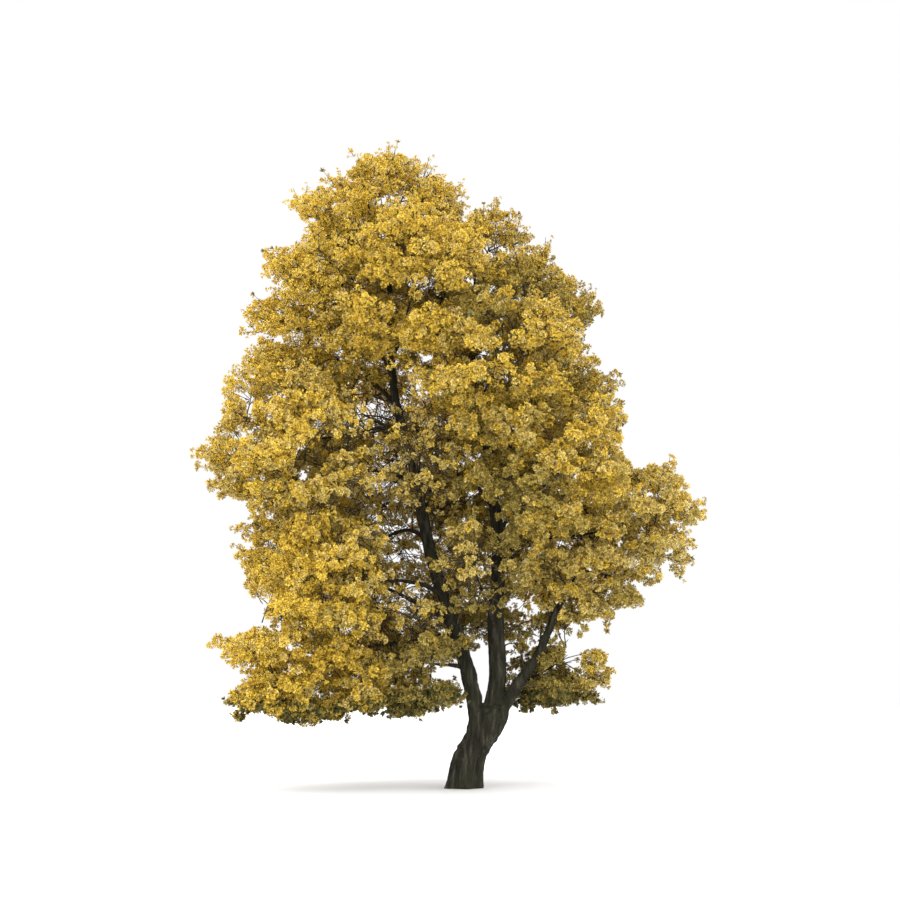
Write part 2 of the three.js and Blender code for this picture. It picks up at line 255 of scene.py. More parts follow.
def stem_of(limb):
    tip = limb["line"][-1]
    run = unit(limb["line"][-1] - limb["line"][-2])
    centre = mass_centres[limb["mass"]]
    end = centre + unit(centre - tip) * STEM["end"] * mass_reaches[limb["mass"]]
    bend = tip + run * np.linalg.norm(end - tip) * STEM["bend"]
    line = bezier_run([tip, bend, end], STEM_POINTS)
    radius = np.linspace(limb["radius"][-1], STEM["tip"] * MM, STEM_POINTS)
    return dict(line=line, radius=radius)


for limb in limbs:
    limb["stem"] = stem_of(limb)
print("stems:", len(limbs), "with points on each:", STEM_POINTS)

# %% [markdown]
# ## Each mass keeps to its own space
# Neighbouring masses would tangle if each were simply a ball. A point belongs to the mass in whose ball it
# lies deepest, which cuts the crown into cells with flat walls between them. Twigs and sprays also have to
# stay off the wood, so a helper measures how far a point is from the nearest limb.

# %% Own space and clear distance
GAP = 0.3 * MM


def in_own_space(mass, points):
    """Whether each point lies within a mass's reach and on its side of every neighbour's wall."""
    points = np.atleast_2d(points)
    depth = ((points[:, None] - mass_centres) ** 2).sum(2) - mass_reaches**2
    walls = 2 * GAP * np.linalg.norm(mass_centres - mass_centres[mass], axis=1)
    margin = depth - depth[:, [mass]] - walls
    margin[:, mass] = 1
    return (depth[:, mass] <= 0) & (margin > 0).all(1)


def segments_of(lines):
    """All short stretches of some limbs, as starts, ends and radii."""
    starts = np.vstack([line["line"][:-1] for line in lines])
    ends = np.vstack([line["line"][1:] for line in lines])
    radii = np.concatenate([line["radius"][:-1] for line in lines])
    return starts, ends, radii


def clear_of(wood, points, chunk=400):
    """How far each point is from the nearest wood's surface."""
    starts, ends, radii = wood
    along = ends - starts
    length = (along**2).sum(1)
    clear = np.empty(len(points))
    for first in range(0, len(points), chunk):
        part = points[first:first + chunk, None]
        share = np.clip(((part - starts) * along).sum(2) / length, 0, 1)
        distance = np.linalg.norm(part - starts - share[..., None] * along, axis=2)
        clear[first:first + chunk] = (distance - radii).min(1)
    return clear


# %% [markdown]
# ## Twigs and sprays by a seeded rule
# In each mass, main twigs fan out from the stem, and sprays are tried one after another at places that fill
# the space evenly. A try is kept where it stays in its own space, off the wood and apart from the sprays
# that are there. The first tries are the largest. The solids stop there. A small random generator is
# written out, so that the solids and the finished tree draw the same numbers.

# %% A small random generator
WORD = 0xFFFFFFFF


def seeded(seed):
    """Random numbers from 0 to 1 that are the same every time for one seed."""
    state = seed & WORD

    def draw():
        nonlocal state
        state = (state + 0x6D2B79F5) & WORD
        mixed = ((state ^ (state >> 15)) * (1 | state)) & WORD
        mixed = ((mixed + (mixed ^ (mixed >> 7)) * (61 | mixed)) ^ mixed) & WORD
        return ((mixed ^ (mixed >> 14)) & WORD) / (WORD + 1)

    return draw


# %% Main twigs of a mass
GOLDEN_TURN = 0.618034
TWIG_PROBES = np.linspace(0.35, 1, 5)


def direction_of(height_share, turn_share):
    """A direction from two numbers from 0 to 1, even over the whole sphere."""
    height = 1 - 2 * height_share
    level = math.sqrt(max(0, 1 - height * height))
    angle = 2 * math.pi * turn_share
    return np.array([level * math.cos(angle), level * math.sin(angle), height])


def root_for(starts, ends, point):
    """Where a twig for a point leaves the twigs that are there, pulled back so that it grows forwards."""
    along = ends - starts
    length = np.linalg.norm(along, axis=1)
    share = np.clip(((point - starts) * along).sum(1) / length**2, 0, 1)
    distance = np.linalg.norm(starts + share[:, None] * along - point, axis=1)
    best = distance.argmin()
    pulled = share[best] - TWIG["pull_back"] * distance[best] / length[best]
    return starts[best] + max(pulled, TWIG["nearest_root"]) * along[best]


def whole(number):
    """The nearest whole number."""
    return math.floor(number + 0.5)


def main_twigs(mass, stem_starts, stem_ends, wood, draw):
    reach = mass_reaches[mass]
    count = max(TWIG["fewest"], whole(TWIG["per_square_metre"] * reach**2))
    turn = draw()
    twigs = []
    for i in range(count):
        direction = direction_of((i + 0.5) / count, turn + i * GOLDEN_TURN)
        end = mass_centres[mass] + direction * TWIG["reach"] * reach
        root = root_for(stem_starts, stem_ends, end)
        probes = root + (end - root) * TWIG_PROBES[:, None]
        if in_own_space(mass, end)[0] and clear_of(wood, probes).min() > TWIG["thin"] * MM:
            twigs.append((root, end))
    return twigs


# %% Sprays of a mass
EVEN_STEP = 0.8191725134
SPRAY_CLEAR = 0.02


def turn_from_y(axis, vector):
    """A vector turned the shortest way that takes +Y to an axis."""
    pivot = np.cross([0, 1, 0], axis)
    return vector * axis[1] + np.cross(pivot, vector) + pivot * (pivot @ vector) / (1 + axis[1])


def spray_corners(root, head, size, roll):
    """The tip of a spray's space and the four corners round its head."""
    axis = unit(head - root)
    length = np.linalg.norm(head - root) + SPRAY["head_length"] * MM * size
    across = turn_from_y(axis, np.array([math.cos(roll), 0, -math.sin(roll)])) * SPRAY["width"] * MM * size
    thick = turn_from_y(axis, np.array([math.sin(roll), 0, math.cos(roll)])) * SPRAY["thickness"] * MM * size
    middle = root + axis * length * (1 + SPRAY["head_at"]) / 2
    return np.array([root + axis * length, middle + across, middle - across, middle + thick, middle - thick])


def evenly_tried(mass, i, begin, size):
    """The head of a mass's spray at its try number i."""
    even = [(begin + (i + 1) * EVEN_STEP**axis) % 1 for axis in (1, 2, 3)]
    outermost = 1 - SPRAY["head_length"] * MM * size / mass_reaches[mass]
    share = SPRAY["innermost"] + (outermost - SPRAY["innermost"]) * even[2] ** (1 / 3)
    return mass_centres[mass] + direction_of(even[0], even[1]) * share * mass_reaches[mass]


def off_wood(corners, head, wood):
    """Whether a spray's space keeps clear of the wood."""
    probes = np.vstack([corners, head, (corners[1:] + head) / 2])
    return clear_of(wood, probes).min() > SPRAY_CLEAR


def mass_sprays(mass, twigs, wood, draw):
    starts, ends = (np.array(points) for points in zip(*twigs))
    wanted = whole(SPRAY["per_square_metre"] * mass_reaches[mass] ** 2)
    tries = wanted * SPRAY["tries_each"]
    begin = draw()
    sprays = []
    for i in range(tries):
        size = SPRAY["largest"] + (SPRAY["smallest"] - SPRAY["largest"]) * i / tries
        roll = math.pi * draw()
        head = evenly_tried(mass, i, begin, size)
        if any(np.linalg.norm(spray["head"] - head) < SPRAY["spacing"] * MM * size for spray in sprays):
            continue
        root = root_for(starts, ends, head)
        corners = spray_corners(root, head, size, roll)
        if in_own_space(mass, corners).all() and off_wood(corners, head, wood):
            sprays.append(dict(mass=mass, root=root, head=head, size=size))
        if len(sprays) == wanted:
            break
    return sprays


# %% Grow all masses
STEM_STEP = 4

mains, sprays, mass_twigs, mass_wood = [], [], {}, {}
for index, limb in enumerate(limbs):
    draw = seeded(SPRAY["seed"] + index)
    mass = limb["mass"]
    mass_wood[mass] = segments_of(limbs + [other["stem"] for other in limbs if other is not limb])
    stem = limb["stem"]["line"][::STEM_STEP]
    main = main_twigs(mass, stem[:-1], stem[1:], mass_wood[mass], draw)
    twigs = list(zip(stem[:-1], stem[1:])) + main
    own_sprays = mass_sprays(mass, twigs, mass_wood[mass], draw)
    mains += [(limb, root, end) for root, end in main]
    sprays += own_sprays
    mass_twigs[mass] = twigs + [(spray["root"], spray["head"]) for spray in own_sprays]
large_sprays = len(sprays)
print("main twigs:", len(mains), "large sprays:", large_sprays)

# %% [markdown]
# ## Finer sprays in the spaces between
# The solids leave gaps, because each of their sprays stands for a whole spray of twigs. Here the same tries
# carry on at smaller sizes. A small spray may lean over into a neighbour's space, as real twigs do, but it
# keeps within its own mass's reach, off the wood and apart from all other sprays.

# %% Grow the finer sprays
FINE = dict(per_square_metre=22, tries_each=34, largest=0.62, smallest=0.34, spacing=190)


def fine_sprays(mass, draw, taken, sizes):
    """Adds smaller sprays to a mass, given the places and sizes of all sprays so far."""
    starts, ends = (np.array(points) for points in zip(*mass_twigs[mass]))
    wanted = whole(FINE["per_square_metre"] * mass_reaches[mass] ** 2)
    tries = wanted * FINE["tries_each"]
    begin = draw()
    added = []
    for i in range(tries):
        size = FINE["largest"] + (FINE["smallest"] - FINE["largest"]) * i / tries
        roll = math.pi * draw()
        head = evenly_tried(mass, i, begin, size)
        if (np.linalg.norm(taken - head, axis=1) < FINE["spacing"] * MM * (sizes + size)).any():
            continue
        root = root_for(starts, ends, head)
        corners = spray_corners(root, head, size, roll)
        within = np.linalg.norm(corners - mass_centres[mass], axis=1) < mass_reaches[mass]
        if within.all() and off_wood(corners, head, mass_wood[mass]):
            added.append(dict(mass=mass, root=root, head=head, size=size))
            taken, sizes = np.vstack([taken, head]), np.append(sizes, size)
        if len(added) == wanted:
            break
    return added


for mass in range(len(CROWN)):
    taken = np.array([spray["head"] for spray in sprays])
    sizes = np.array([spray["size"] for spray in sprays])
    sprays += fine_sprays(mass, seeded(SPRAY["seed"] - 1 - mass), taken, sizes)
print("fine sprays:", len(sprays) - large_sprays)

# %% [markdown]
# ## Fans of fine twigs
# A spray is one of hundreds of puffs that make up the crown. From its twig, side twigs fan out to its
# surface, and each ends in a tuft of short stalks with one round head of flowers on each. The puffs are
# flatter than they are wide, which gives the crown its level tiers, and they bloom more on top than below.
# Where the real crown lets the sky through, heads are thinned out and the bare twigs stay.

# %% Where the crown is thin
FULLNESS = dict(front_middle=0.6, front_heart=0.75, heart=0.7, bottom_right=1.9, bottom_left=1.3,
                crown_top=1.35, top_left=1.25, shoulder_left=1.25, front_top=1.15)
WINDOW = dict(across=-1.0, up=4.1, wide=1.05, tall=1.75, keep=0.72, keep_behind=0.75)
CAMERA_AT = Vector((-0.195, -26.0, 1.7))
SKY_GAPS = [
    dict(across=-1.70, up=5.42, wide=0.72, tall=0.34, keep=0.4),
    dict(across=-1.10, up=5.95, wide=0.75, tall=0.55, keep=1.0, keep_behind=0.5),
    dict(across=-0.64, up=7.68, wide=0.28, tall=0.20, keep=0.3),
    dict(across=-0.87, up=2.65, wide=0.55, tall=0.40, keep=0.45),
    dict(across=-1.47, up=2.30, wide=0.45, tall=0.20, keep=0.45),
    dict(across=1.86, up=4.28, wide=0.18, tall=0.12, keep=0.3),
    dict(across=0.29, up=1.85, wide=0.10, tall=0.32, keep=0.0),
    dict(across=1.60, up=1.98, wide=0.08, tall=0.26, keep=0.0),
    dict(across=1.86, up=2.10, wide=0.30, tall=0.10, keep=0.0),
    dict(across=2.66, up=5.20, wide=0.26, tall=0.46, keep=0.05),
    dict(across=-3.52, up=2.58, wide=0.52, tall=0.36, keep=0.0),
    dict(across=-3.56, up=4.12, wide=0.32, tall=0.22, keep=0.05),
    dict(across=3.75, up=5.00, wide=0.55, tall=0.62, keep=0.0),
    dict(across=-3.52, up=3.08, wide=0.24, tall=0.34, keep=0.1),
    dict(across=-3.92, up=5.80, wide=0.28, tall=0.50, keep=0.1),
    dict(across=1.68, up=8.06, wide=0.26, tall=0.30, keep=0.1),
    dict(across=2.16, up=6.80, wide=0.26, tall=0.30, keep=0.1),
    dict(across=-2.74, up=8.50, wide=0.30, tall=0.32, keep=0.1),
]
BEFORE_WOOD = [
    dict(across=0.38, up=3.4, wide=0.24, tall=1.6, keep=0.4),
    dict(across=-0.20, up=2.7, wide=0.30, tall=0.7, keep=0.55),
]
OPEN_SKY = 0.1
BROWSE_LINE = dict(across=(-3.8, -3.45, -3.25, -2.9, -1.9, -1.2, -0.3, 0.6, 2.0),
                   up=(1.65, 1.20, 1.02, 0.95, 0.93, 1.03, 1.14, 1.12, 1.06))

# %% [markdown]
# ## Finding the gaps
# A gap of sky is only a gap from where the viewer stands, so it is kept as an oval on the upright plane
# through the trunk. A point of the crown lies in it where its line of sight passes that oval. The edges are
# made ragged by chance, and each gap keeps a share of its heads. At the crown's edge a gap is empty, and
# even bare twigs are left out there. The lowest blossom ends at a line, as it does where animals browse.

# %% Find what lies in a gap
RAGGED = (0.7, 1.1)
RAGGED_BEFORE_WOOD = (0.6, 1.1)

rng = np.random.default_rng(SPRAY["seed"])


def seen_at_trunk(points):
    """Where the lines of sight from the camera to points pass the upright plane through the trunk."""
    camera = np.array(CAMERA_AT)
    return camera + (points - camera) * (camera[1] / (camera[1] - points[:, 1]))[:, None]


def share_of(gap, at_trunk):
    """How far out points lie in a gap, which is an oval in the upright plane through the trunk."""
    across = (at_trunk[:, 0] - gap["across"]) / gap["wide"]
    up = (at_trunk[:, 2] - gap["up"]) / gap["tall"]
    return np.hypot(across, up)


def under_sky_gap(points):
    """Which points to leave out, so that the camera sees some sky between the heads that stay."""
    at_trunk = seen_at_trunk(points)
    left_out = np.zeros(len(points), bool)
    for gap in [WINDOW, *SKY_GAPS]:
        ragged = rng.uniform(*RAGGED, len(points))
        keep = np.where(points[:, 1] > 0, gap.get("keep_behind", gap["keep"]), gap["keep"])
        left_out |= (share_of(gap, at_trunk) < ragged) & (rng.uniform(0, 1, len(points)) > keep)
    for gap in BEFORE_WOOD:
        before = share_of(gap, at_trunk) < rng.uniform(*RAGGED_BEFORE_WOOD, len(points))
        left_out |= before & (points[:, 1] < 0) & (rng.uniform(0, 1, len(points)) > gap["keep"])
    return left_out


def in_open_sky(points):
    """Which points lie in a gap at the crown's edge, where no bare twig stays either."""
    at_trunk = seen_at_trunk(points)
    return np.any([share_of(gap, at_trunk) < 1 for gap in SKY_GAPS if gap["keep"] <= OPEN_SKY], axis=0)


def above_browse(points):
    """How high points are above the line at which the crown's underside ends."""
    return points[:, 2] - np.interp(points[:, 0], BROWSE_LINE["across"], BROWSE_LINE["up"])


spray_heads = np.array([spray["head"] for spray in sprays])
left_out = in_open_sky(spray_heads) | (above_browse(spray_heads) < 0)
sprays = [spray for spray, out in zip(sprays, left_out) if not out]
spray_heads = spray_heads[~left_out]
print("sprays left out for the sky:", int(left_out.sum()))

# %% [markdown]
# ## Tufts and heads
# Golden turns spread directions over a ball with no rows in them, as seeds sit in a sunflower. They place
# the tufts in a puff, and again the heads in a tuft. High in the tree the heads are smaller, so there are
# more of them in a tuft.

# %% Places of tufts and heads
TUFTS_PER_SPRAY = 9
TUFT = dict(heads_low=6, heads_high=14, along=0.15, across=0.085, up=0.06, flat=0.5, lowest=-0.7, inner=0.5,
            outer=1.15, back=-1, ahead=0.8)
PUFF = dict(across=0.38, up=0.21, lowest=-0.55, inner=0.4, outer=1.05, crowding=0.7, underside=-0.1)
BALL = dict(jitter=(0.2, 0.8), wander=0.25)
LOW_TO_HIGH = (2, 9)
HEAD_ROOM = 0.03
HEAD_REACH = 0.05

all_wood = segments_of(limbs + [limb["stem"] for limb in limbs])


def golden_ball(count, lowest):
    """Directions spread over a ball by golden turns, from its top down to a lowest height."""
    height = 1 - (1 - lowest) * (np.arange(count) + rng.uniform(*BALL["jitter"], count)) / count
    angle = 2 * math.pi * (GOLDEN_TURN * np.arange(count) + rng.uniform(0, 1))
    angle = angle + rng.normal(0, BALL["wander"], count)
    level = np.sqrt(np.maximum(0, 1 - height**2))
    return np.stack([level * np.cos(angle), level * np.sin(angle), height], 1)


def tuft_places(spray):
    """The places of a spray's tufts in its puff, and which of them are on its underside."""
    fullness = FULLNESS.get(mass_names[spray["mass"]], 1)
    count = max(2, whole(TUFTS_PER_SPRAY * spray["size"] ** 2 * max(1, fullness)))
    ball = golden_ball(count, PUFF["lowest"])
    ball = ball * rng.uniform(PUFF["inner"], PUFF["outer"], count)[:, None] ** PUFF["crowding"]
    across, up = PUFF["across"] * spray["size"], PUFF["up"] * spray["size"]
    return spray["head"] + ball * np.array([across, across, up]), ball[:, 2] < PUFF["underside"]


def tuft_heads(place, run):
    """The places of one tuft's flower heads along its twig, more of them higher up the tree."""
    count = whole(np.interp(place[2], LOW_TO_HIGH, [TUFT["heads_low"], TUFT["heads_high"]]))
    ball = golden_ball(count, TUFT["lowest"])
    ball = ball * rng.uniform(TUFT["inner"], TUFT["outer"], count)[:, None]
    level = unit(run * np.array([1, 1, TUFT["flat"]]))
    along = rng.uniform(TUFT["back"], TUFT["ahead"], count)[:, None] * TUFT["along"] * level
    return place + along + ball * np.array([TUFT["across"], TUFT["across"], TUFT["up"]])


def reach_share(mass, points):
    """How far out each point lies in a mass, as a share of its reach less a head's own."""
    return np.linalg.norm(points - mass_centres[mass], axis=1) / (mass_reaches[mass] - HEAD_REACH)


def has_room(mass, points):
    """Which points lie in a mass's reach, off the wood, above the browse line and not in the open sky."""
    room = (reach_share(mass, points) < 1) & (clear_of(all_wood, points) > HEAD_ROOM)
    return room & (above_browse(points) > 0) & ~in_open_sky(points)


# %% [markdown]
# ## Growing the fans
# Each tuft sits on a fine twig that leaves the spray's own twig a little way back and forks into the stalks
# of its heads. A tuft with no room is skipped. In a thin part of the crown some twigs stay bare, and
# elsewhere a twig that lost all its heads is left out, so that no stick hangs in the air.

# %% Grow the fans
EDGE = dict(share=0.86, keep=0.7)
FINE_TWIG = dict(thick=6.5, thin=4.5)
FAN = dict(back=0.3, first=0.2, last=0.95, fork=0.8)
HEAD_LIFT = 0.35

heads, outwards, head_spray, head_scale, head_painted_shade, stalks, spikes = [], [], [], [], [], [], []


def add_heads(places, root, number, scale, painted_shade):
    """Adds flower heads of one spray that point away from a root, each on a stalk that ends in a point, with
    painted shade for their tint.
    """
    heads.append(places)
    outwards.append(unit(unit(places - root) + np.array([0, 0, HEAD_LIFT])))
    head_spray.append(np.full(len(places), number))
    head_scale.append(np.broadcast_to(scale, len(places)))
    head_painted_shade.append(np.full(len(places), painted_shade))
    spikes.extend(zip(np.broadcast_to(root, places.shape), places))


for number, spray in enumerate(sprays):
    mass = spray["mass"]
    axis = spray["head"] - spray["root"]
    fullness = FULLNESS.get(mass_names[mass], 1)
    tufts, underside = tuft_places(spray)
    inside = reach_share(mass, tufts) < EDGE["share"]
    room = has_room(mass, tufts) & (inside | (rng.uniform(0, 1, len(tufts)) < EDGE["keep"]))
    for place, under in zip(tufts[room], underside[room]):
        along = (place - spray["root"]) @ axis / (axis @ axis) - FAN["back"]
        root = spray["root"] + np.clip(along, FAN["first"], FAN["last"]) * axis
        fork = root + (place - root) * FAN["fork"]
        if in_open_sky(np.array([root, (root + fork) / 2])).any():
            continue
        places = tuft_heads(place, place - root)
        places = places[has_room(mass, places) & ~under_sky_gap(places)]
        bare = rng.uniform(0, 1) > fullness
        if len(places) or bare:
            stalks.append((root, fork, FINE_TWIG["thick"], FINE_TWIG["thin"]))
        # Heads on a puff's underside get one step of painted shade.
        if not bare:
            add_heads(places, fork, number, 1.0, under)
print("flower heads in fans:", sum(len(part) for part in heads), "fine twigs:", len(stalks))

# %% [markdown]
# ## Bare twigs
# In the middle of the crown the viewer looks in between the boughs, and sees more twig than blossom. The
# sprays there get a tangle of short bare twigs that leave them in all directions.

# %% Bare twigs where the crown is thin
BARE = dict(each=15, longest=0.55, shortest=0.2, first=0.2, thick=7.0, thin=4.0)
WINDOW_EDGE = 1.2
IN_WINDOW = 0.1

in_window = np.clip(WINDOW_EDGE - share_of(WINDOW, seen_at_trunk(spray_heads)), 0, 1)
fans = len(stalks)
for number in np.flatnonzero(in_window > IN_WINDOW):
    spray = sprays[number]
    for _ in range(whole(BARE["each"] * spray["size"])):
        start = spray["root"] + (spray["head"] - spray["root"]) * rng.uniform(BARE["first"], 1)
        end = start + unit(rng.normal(0, 1, 3)) * rng.uniform(BARE["shortest"], BARE["longest"])
        stalks.append((start, end, BARE["thick"], BARE["thin"]))
print("bare twigs:", len(stalks) - fans)

# %% [markdown]
# ## Sprigs that break the outline
# A crown's edge is not smooth. Young upright sprigs stand out of it, with a few small heads and sometimes a
# tuft of leaves at the tip. They grow only from sprays at the crown's surface, which are the ones whose
# outer side lies in no other mass, and they end within their own mass's reach.

# %% Grow the sprigs
SPRIG = dict(each=2.2, longest=0.34, shortest=0.12, heads=(0.3, 0.45, 0.6, 0.8, 1.0), aside=0.03,
             scales=(1, 0.95, 0.9, 0.85, 0.75), wander=0.45, lift=0.5, start=0.15, shorter=0.7, thick=5.0,
             thin=3.5)
SURFACE = 0.95
LEAF_TIPS = 0.26
EDGE_ROOM = 0.06

box = np.array(cad_box)
leaf_places, leaf_outwards, leaf_kind = [], [], []


def at_surface(mass, point):
    """Whether a point of a mass lies in no other mass."""
    depth = np.linalg.norm(mass_centres - point, axis=1) / mass_reaches
    depth[mass] = 1
    return depth.min() > SURFACE


def in_box(points):
    """Which points lie within the solids' box, or just outside it."""
    return ((points > box[0] - EDGE_ROOM) & (points < box[1] + EDGE_ROOM)).all(-1)


def room_to_reach(mass, point, direction):
    """How far it is from a point along a direction to the edge of a mass's reach."""
    offset = point - mass_centres[mass]
    along = offset @ direction
    return -along + math.sqrt(max(0, along**2 + mass_reaches[mass] ** 2 - offset @ offset))


sprig_count = 0
for number, spray in enumerate(sprays):
    mass, size = spray["mass"], spray["size"]
    outward = unit(spray["head"] - mass_centres[mass])
    if not at_surface(mass, spray["head"] + outward * PUFF["across"] * size):
        continue
    for _ in range(whole(SPRIG["each"] * size)):
        direction = unit(outward + rng.normal(0, SPRIG["wander"], 3) + np.array([0, 0, SPRIG["lift"]]))
        start = spray["head"] + direction * SPRIG["start"] * size
        wanted = SPRIG["longest"] * rng.uniform(SPRIG["shorter"], 1)
        length = min(room_to_reach(mass, start, direction), wanted)
        if length < SPRIG["shortest"]:
            continue
        end = start + direction * length
        aside = rng.normal(0, SPRIG["aside"], (len(SPRIG["heads"]), 3))
        places = start + direction * length * np.array(SPRIG["heads"])[:, None] + aside
        if under_sky_gap(places).any() or in_open_sky(places).any() or above_browse(places).min() < 0:
            continue
        if not in_box(end) or clear_of(all_wood, places).min() < HEAD_ROOM:
            continue
        stalks.append((start, end, SPRIG["thick"], SPRIG["thin"]))
        add_heads(places, start, number, np.array(SPRIG["scales"]), False)
        sprig_count += 1
        if rng.uniform(0, 1) < LEAF_TIPS:
            leaf_places.append(end)
            leaf_outwards.append(direction)
            leaf_kind.append(int(rng.integers(0, 2)))
print("sprigs:", sprig_count, "with leaves:", len(leaf_places))

# %% [markdown]
# ## The shaded underside
# Under the lowest masses the crown is dense and dark: more heads hang close together, with green leaves
# between them, and their tints are darkened as painted shade. Both are set close under the lowest heads, and
# lifted where they would hang below the browse line. The nearer a head is to that line, the more painted
# shade darkens its tint.

# %% Heads and leaves under the lowest masses
# Two of these weights paint shade onto the tints of the lowest heads: one for the hung heads, and one that
# grows towards the browse line.
SHADED = dict(deep=0.36, heads=2, tufts=5, spread=0.06, thick=0.03, drop=0.05, lifted=0.06, scale=0.9,
              hung_painted_shade=1.5, painted_shade=3, flat=0.4, leaf_kind=2)


def hung_under(points, each):
    """Several points close under each of some, none of them below the browse line."""
    under = np.repeat(points, each, axis=0)
    spread = np.array([SHADED["spread"], SHADED["spread"], SHADED["thick"]])
    under = under + rng.normal(0, 1, under.shape) * spread - np.array([0, 0, SHADED["drop"]])
    under[:, 2] += np.maximum(rng.uniform(0, SHADED["lifted"], len(under)) - above_browse(under), 0)
    return under


low = np.vstack(heads)
low_at = np.flatnonzero(above_browse(low) < SHADED["deep"])
for number in np.unique(np.concatenate(head_spray)[low_at]):
    own = low_at[np.concatenate(head_spray)[low_at] == number]
    places = hung_under(low[own], SHADED["heads"])
    root = places + np.array([0, 0, SHADED["drop"]])
    # The hung heads get more painted shade, to darken the underside.
    add_heads(places, root, number, SHADED["scale"], SHADED["hung_painted_shade"])
print("lowest heads:", len(low_at))

# %% Gather heads and leaves
heads, outwards = np.vstack(heads), np.vstack(outwards)
head_spray, head_scale = np.concatenate(head_spray), np.concatenate(head_scale)
head_painted_shade = np.concatenate(head_painted_shade)
above = above_browse(heads)
staying = in_box(heads) & (above > 0)
under = hung_under(low[low_at], SHADED["tufts"])
leaf_places = np.vstack([*leaf_places, under])
leaf_outwards = np.vstack([*leaf_outwards, rng.normal(0, 1, under.shape) * np.array([1, 1, SHADED["flat"]])])
# Painted shade: the nearer a head is to the browse line, the darker its tint.
head_painted_shade = head_painted_shade + SHADED["painted_shade"] * np.exp(-above / SHADED["deep"])
leaf_kind = np.concatenate([leaf_kind, np.full(len(under), SHADED["leaf_kind"])]).astype(int)
within = in_box(leaf_places)
leaf_places, leaf_outwards, leaf_kind = leaf_places[within], leaf_outwards[within], leaf_kind[within]
spikes = np.array(spikes)[staying]
heads, outwards, head_spray = heads[staying], outwards[staying], head_spray[staying]
head_scale, head_painted_shade = head_scale[staying], head_painted_shade[staying]
print("flower heads:", len(heads), "leaf tufts:", len(leaf_places), "fine twigs:", len(stalks))

# %% [markdown]
# ## Meshes from arrays
# Thousands of twigs are far too many for one object each. A tube here is a ring of points carried along a
# line, and all tubes of a kind are joined in arrays before Blender sees them. `foreach_set` hands a whole
# array to a mesh at once, which is hundreds of times quicker than adding faces one by one.

# %% Tubes and meshes
ACROSS_TUBES = (0.31, 0.94, 0.17)


def new_piece(name, points, faces):
    """A mesh object from an array of points and an array of faces with the same number of corners each."""
    mesh = bpy.data.meshes.new(name)
    mesh.vertices.add(len(points))
    mesh.vertices.foreach_set("co", np.asarray(points, np.float32).ravel())
    mesh.loops.add(faces.size)
    mesh.loops.foreach_set("vertex_index", faces.ravel().astype(np.int32))
    mesh.polygons.add(len(faces))
    mesh.polygons.foreach_set("loop_start", np.arange(0, faces.size, faces.shape[1], dtype=np.int32))
    mesh.polygons.foreach_set("use_smooth", np.ones(len(faces), bool))
    mesh.update(calc_edges=True)
    piece = bpy.data.objects.new(name, mesh)
    bpy.context.collection.objects.link(piece)
    return piece


def tube_rings(line, radius, sides):
    """Rings of points round a line, each turned as little as possible from the one before."""
    run = unit(np.gradient(line, axis=0))
    side = unit(np.cross(run[0], ACROSS_TUBES))
    turns = 2 * math.pi * np.arange(sides) / sides
    rings = []
    for middle, forward, thick in zip(line, run, radius):
        side = unit(side - forward * (side @ forward))
        other = np.cross(forward, side)
        rings.append(middle + thick * (np.cos(turns)[:, None] * side + np.sin(turns)[:, None] * other))
    return np.array(rings)


def tube_mesh(line, radius, sides):
    """A closed tube: its points and its triangles."""
    rings = tube_rings(line, radius, sides)
    steps = len(line) - 1
    ring, corner = np.meshgrid(np.arange(steps), np.arange(sides), indexing="ij")
    a = (ring * sides + corner).ravel()
    b = (ring * sides + (corner + 1) % sides).ravel()
    walls = np.vstack([np.stack([a, b, b + sides], 1), np.stack([a, b + sides, a + sides], 1)])
    fan = np.arange(1, sides - 1)
    foot = np.stack([np.zeros_like(fan), fan + 1, fan], 1)
    top = steps * sides + np.stack([np.zeros_like(fan), fan, fan + 1], 1)
    return rings.reshape(-1, 3), np.vstack([walls, foot, top])


def join_meshes(meshes):
    """Several meshes as one pair of arrays."""
    offsets = np.cumsum([0] + [len(points) for points, _ in meshes[:-1]])
    points = np.vstack([points for points, _ in meshes])
    faces = np.vstack([faces + offset for (_, faces), offset in zip(meshes, offsets)])
    return points, faces


# %% [markdown]
# ## Trunk and leaders in one skin
# On a real tree the fork has no seams: the bark runs from the trunk into each leader. So the trunk and the
# leaders are first made as plain overlapping tubes, and the Remesh modifier's voxels melt them into one
# skin. A little smoothing rounds the crotches. The relief comes after that, as real displacement of the
# skin: long furrows that follow the limb, broken by finer cracks, deepest on the trunk.

# %% The trunk's plain shape
DOME_FROM = 0.8
LEAN_POINTS = 200


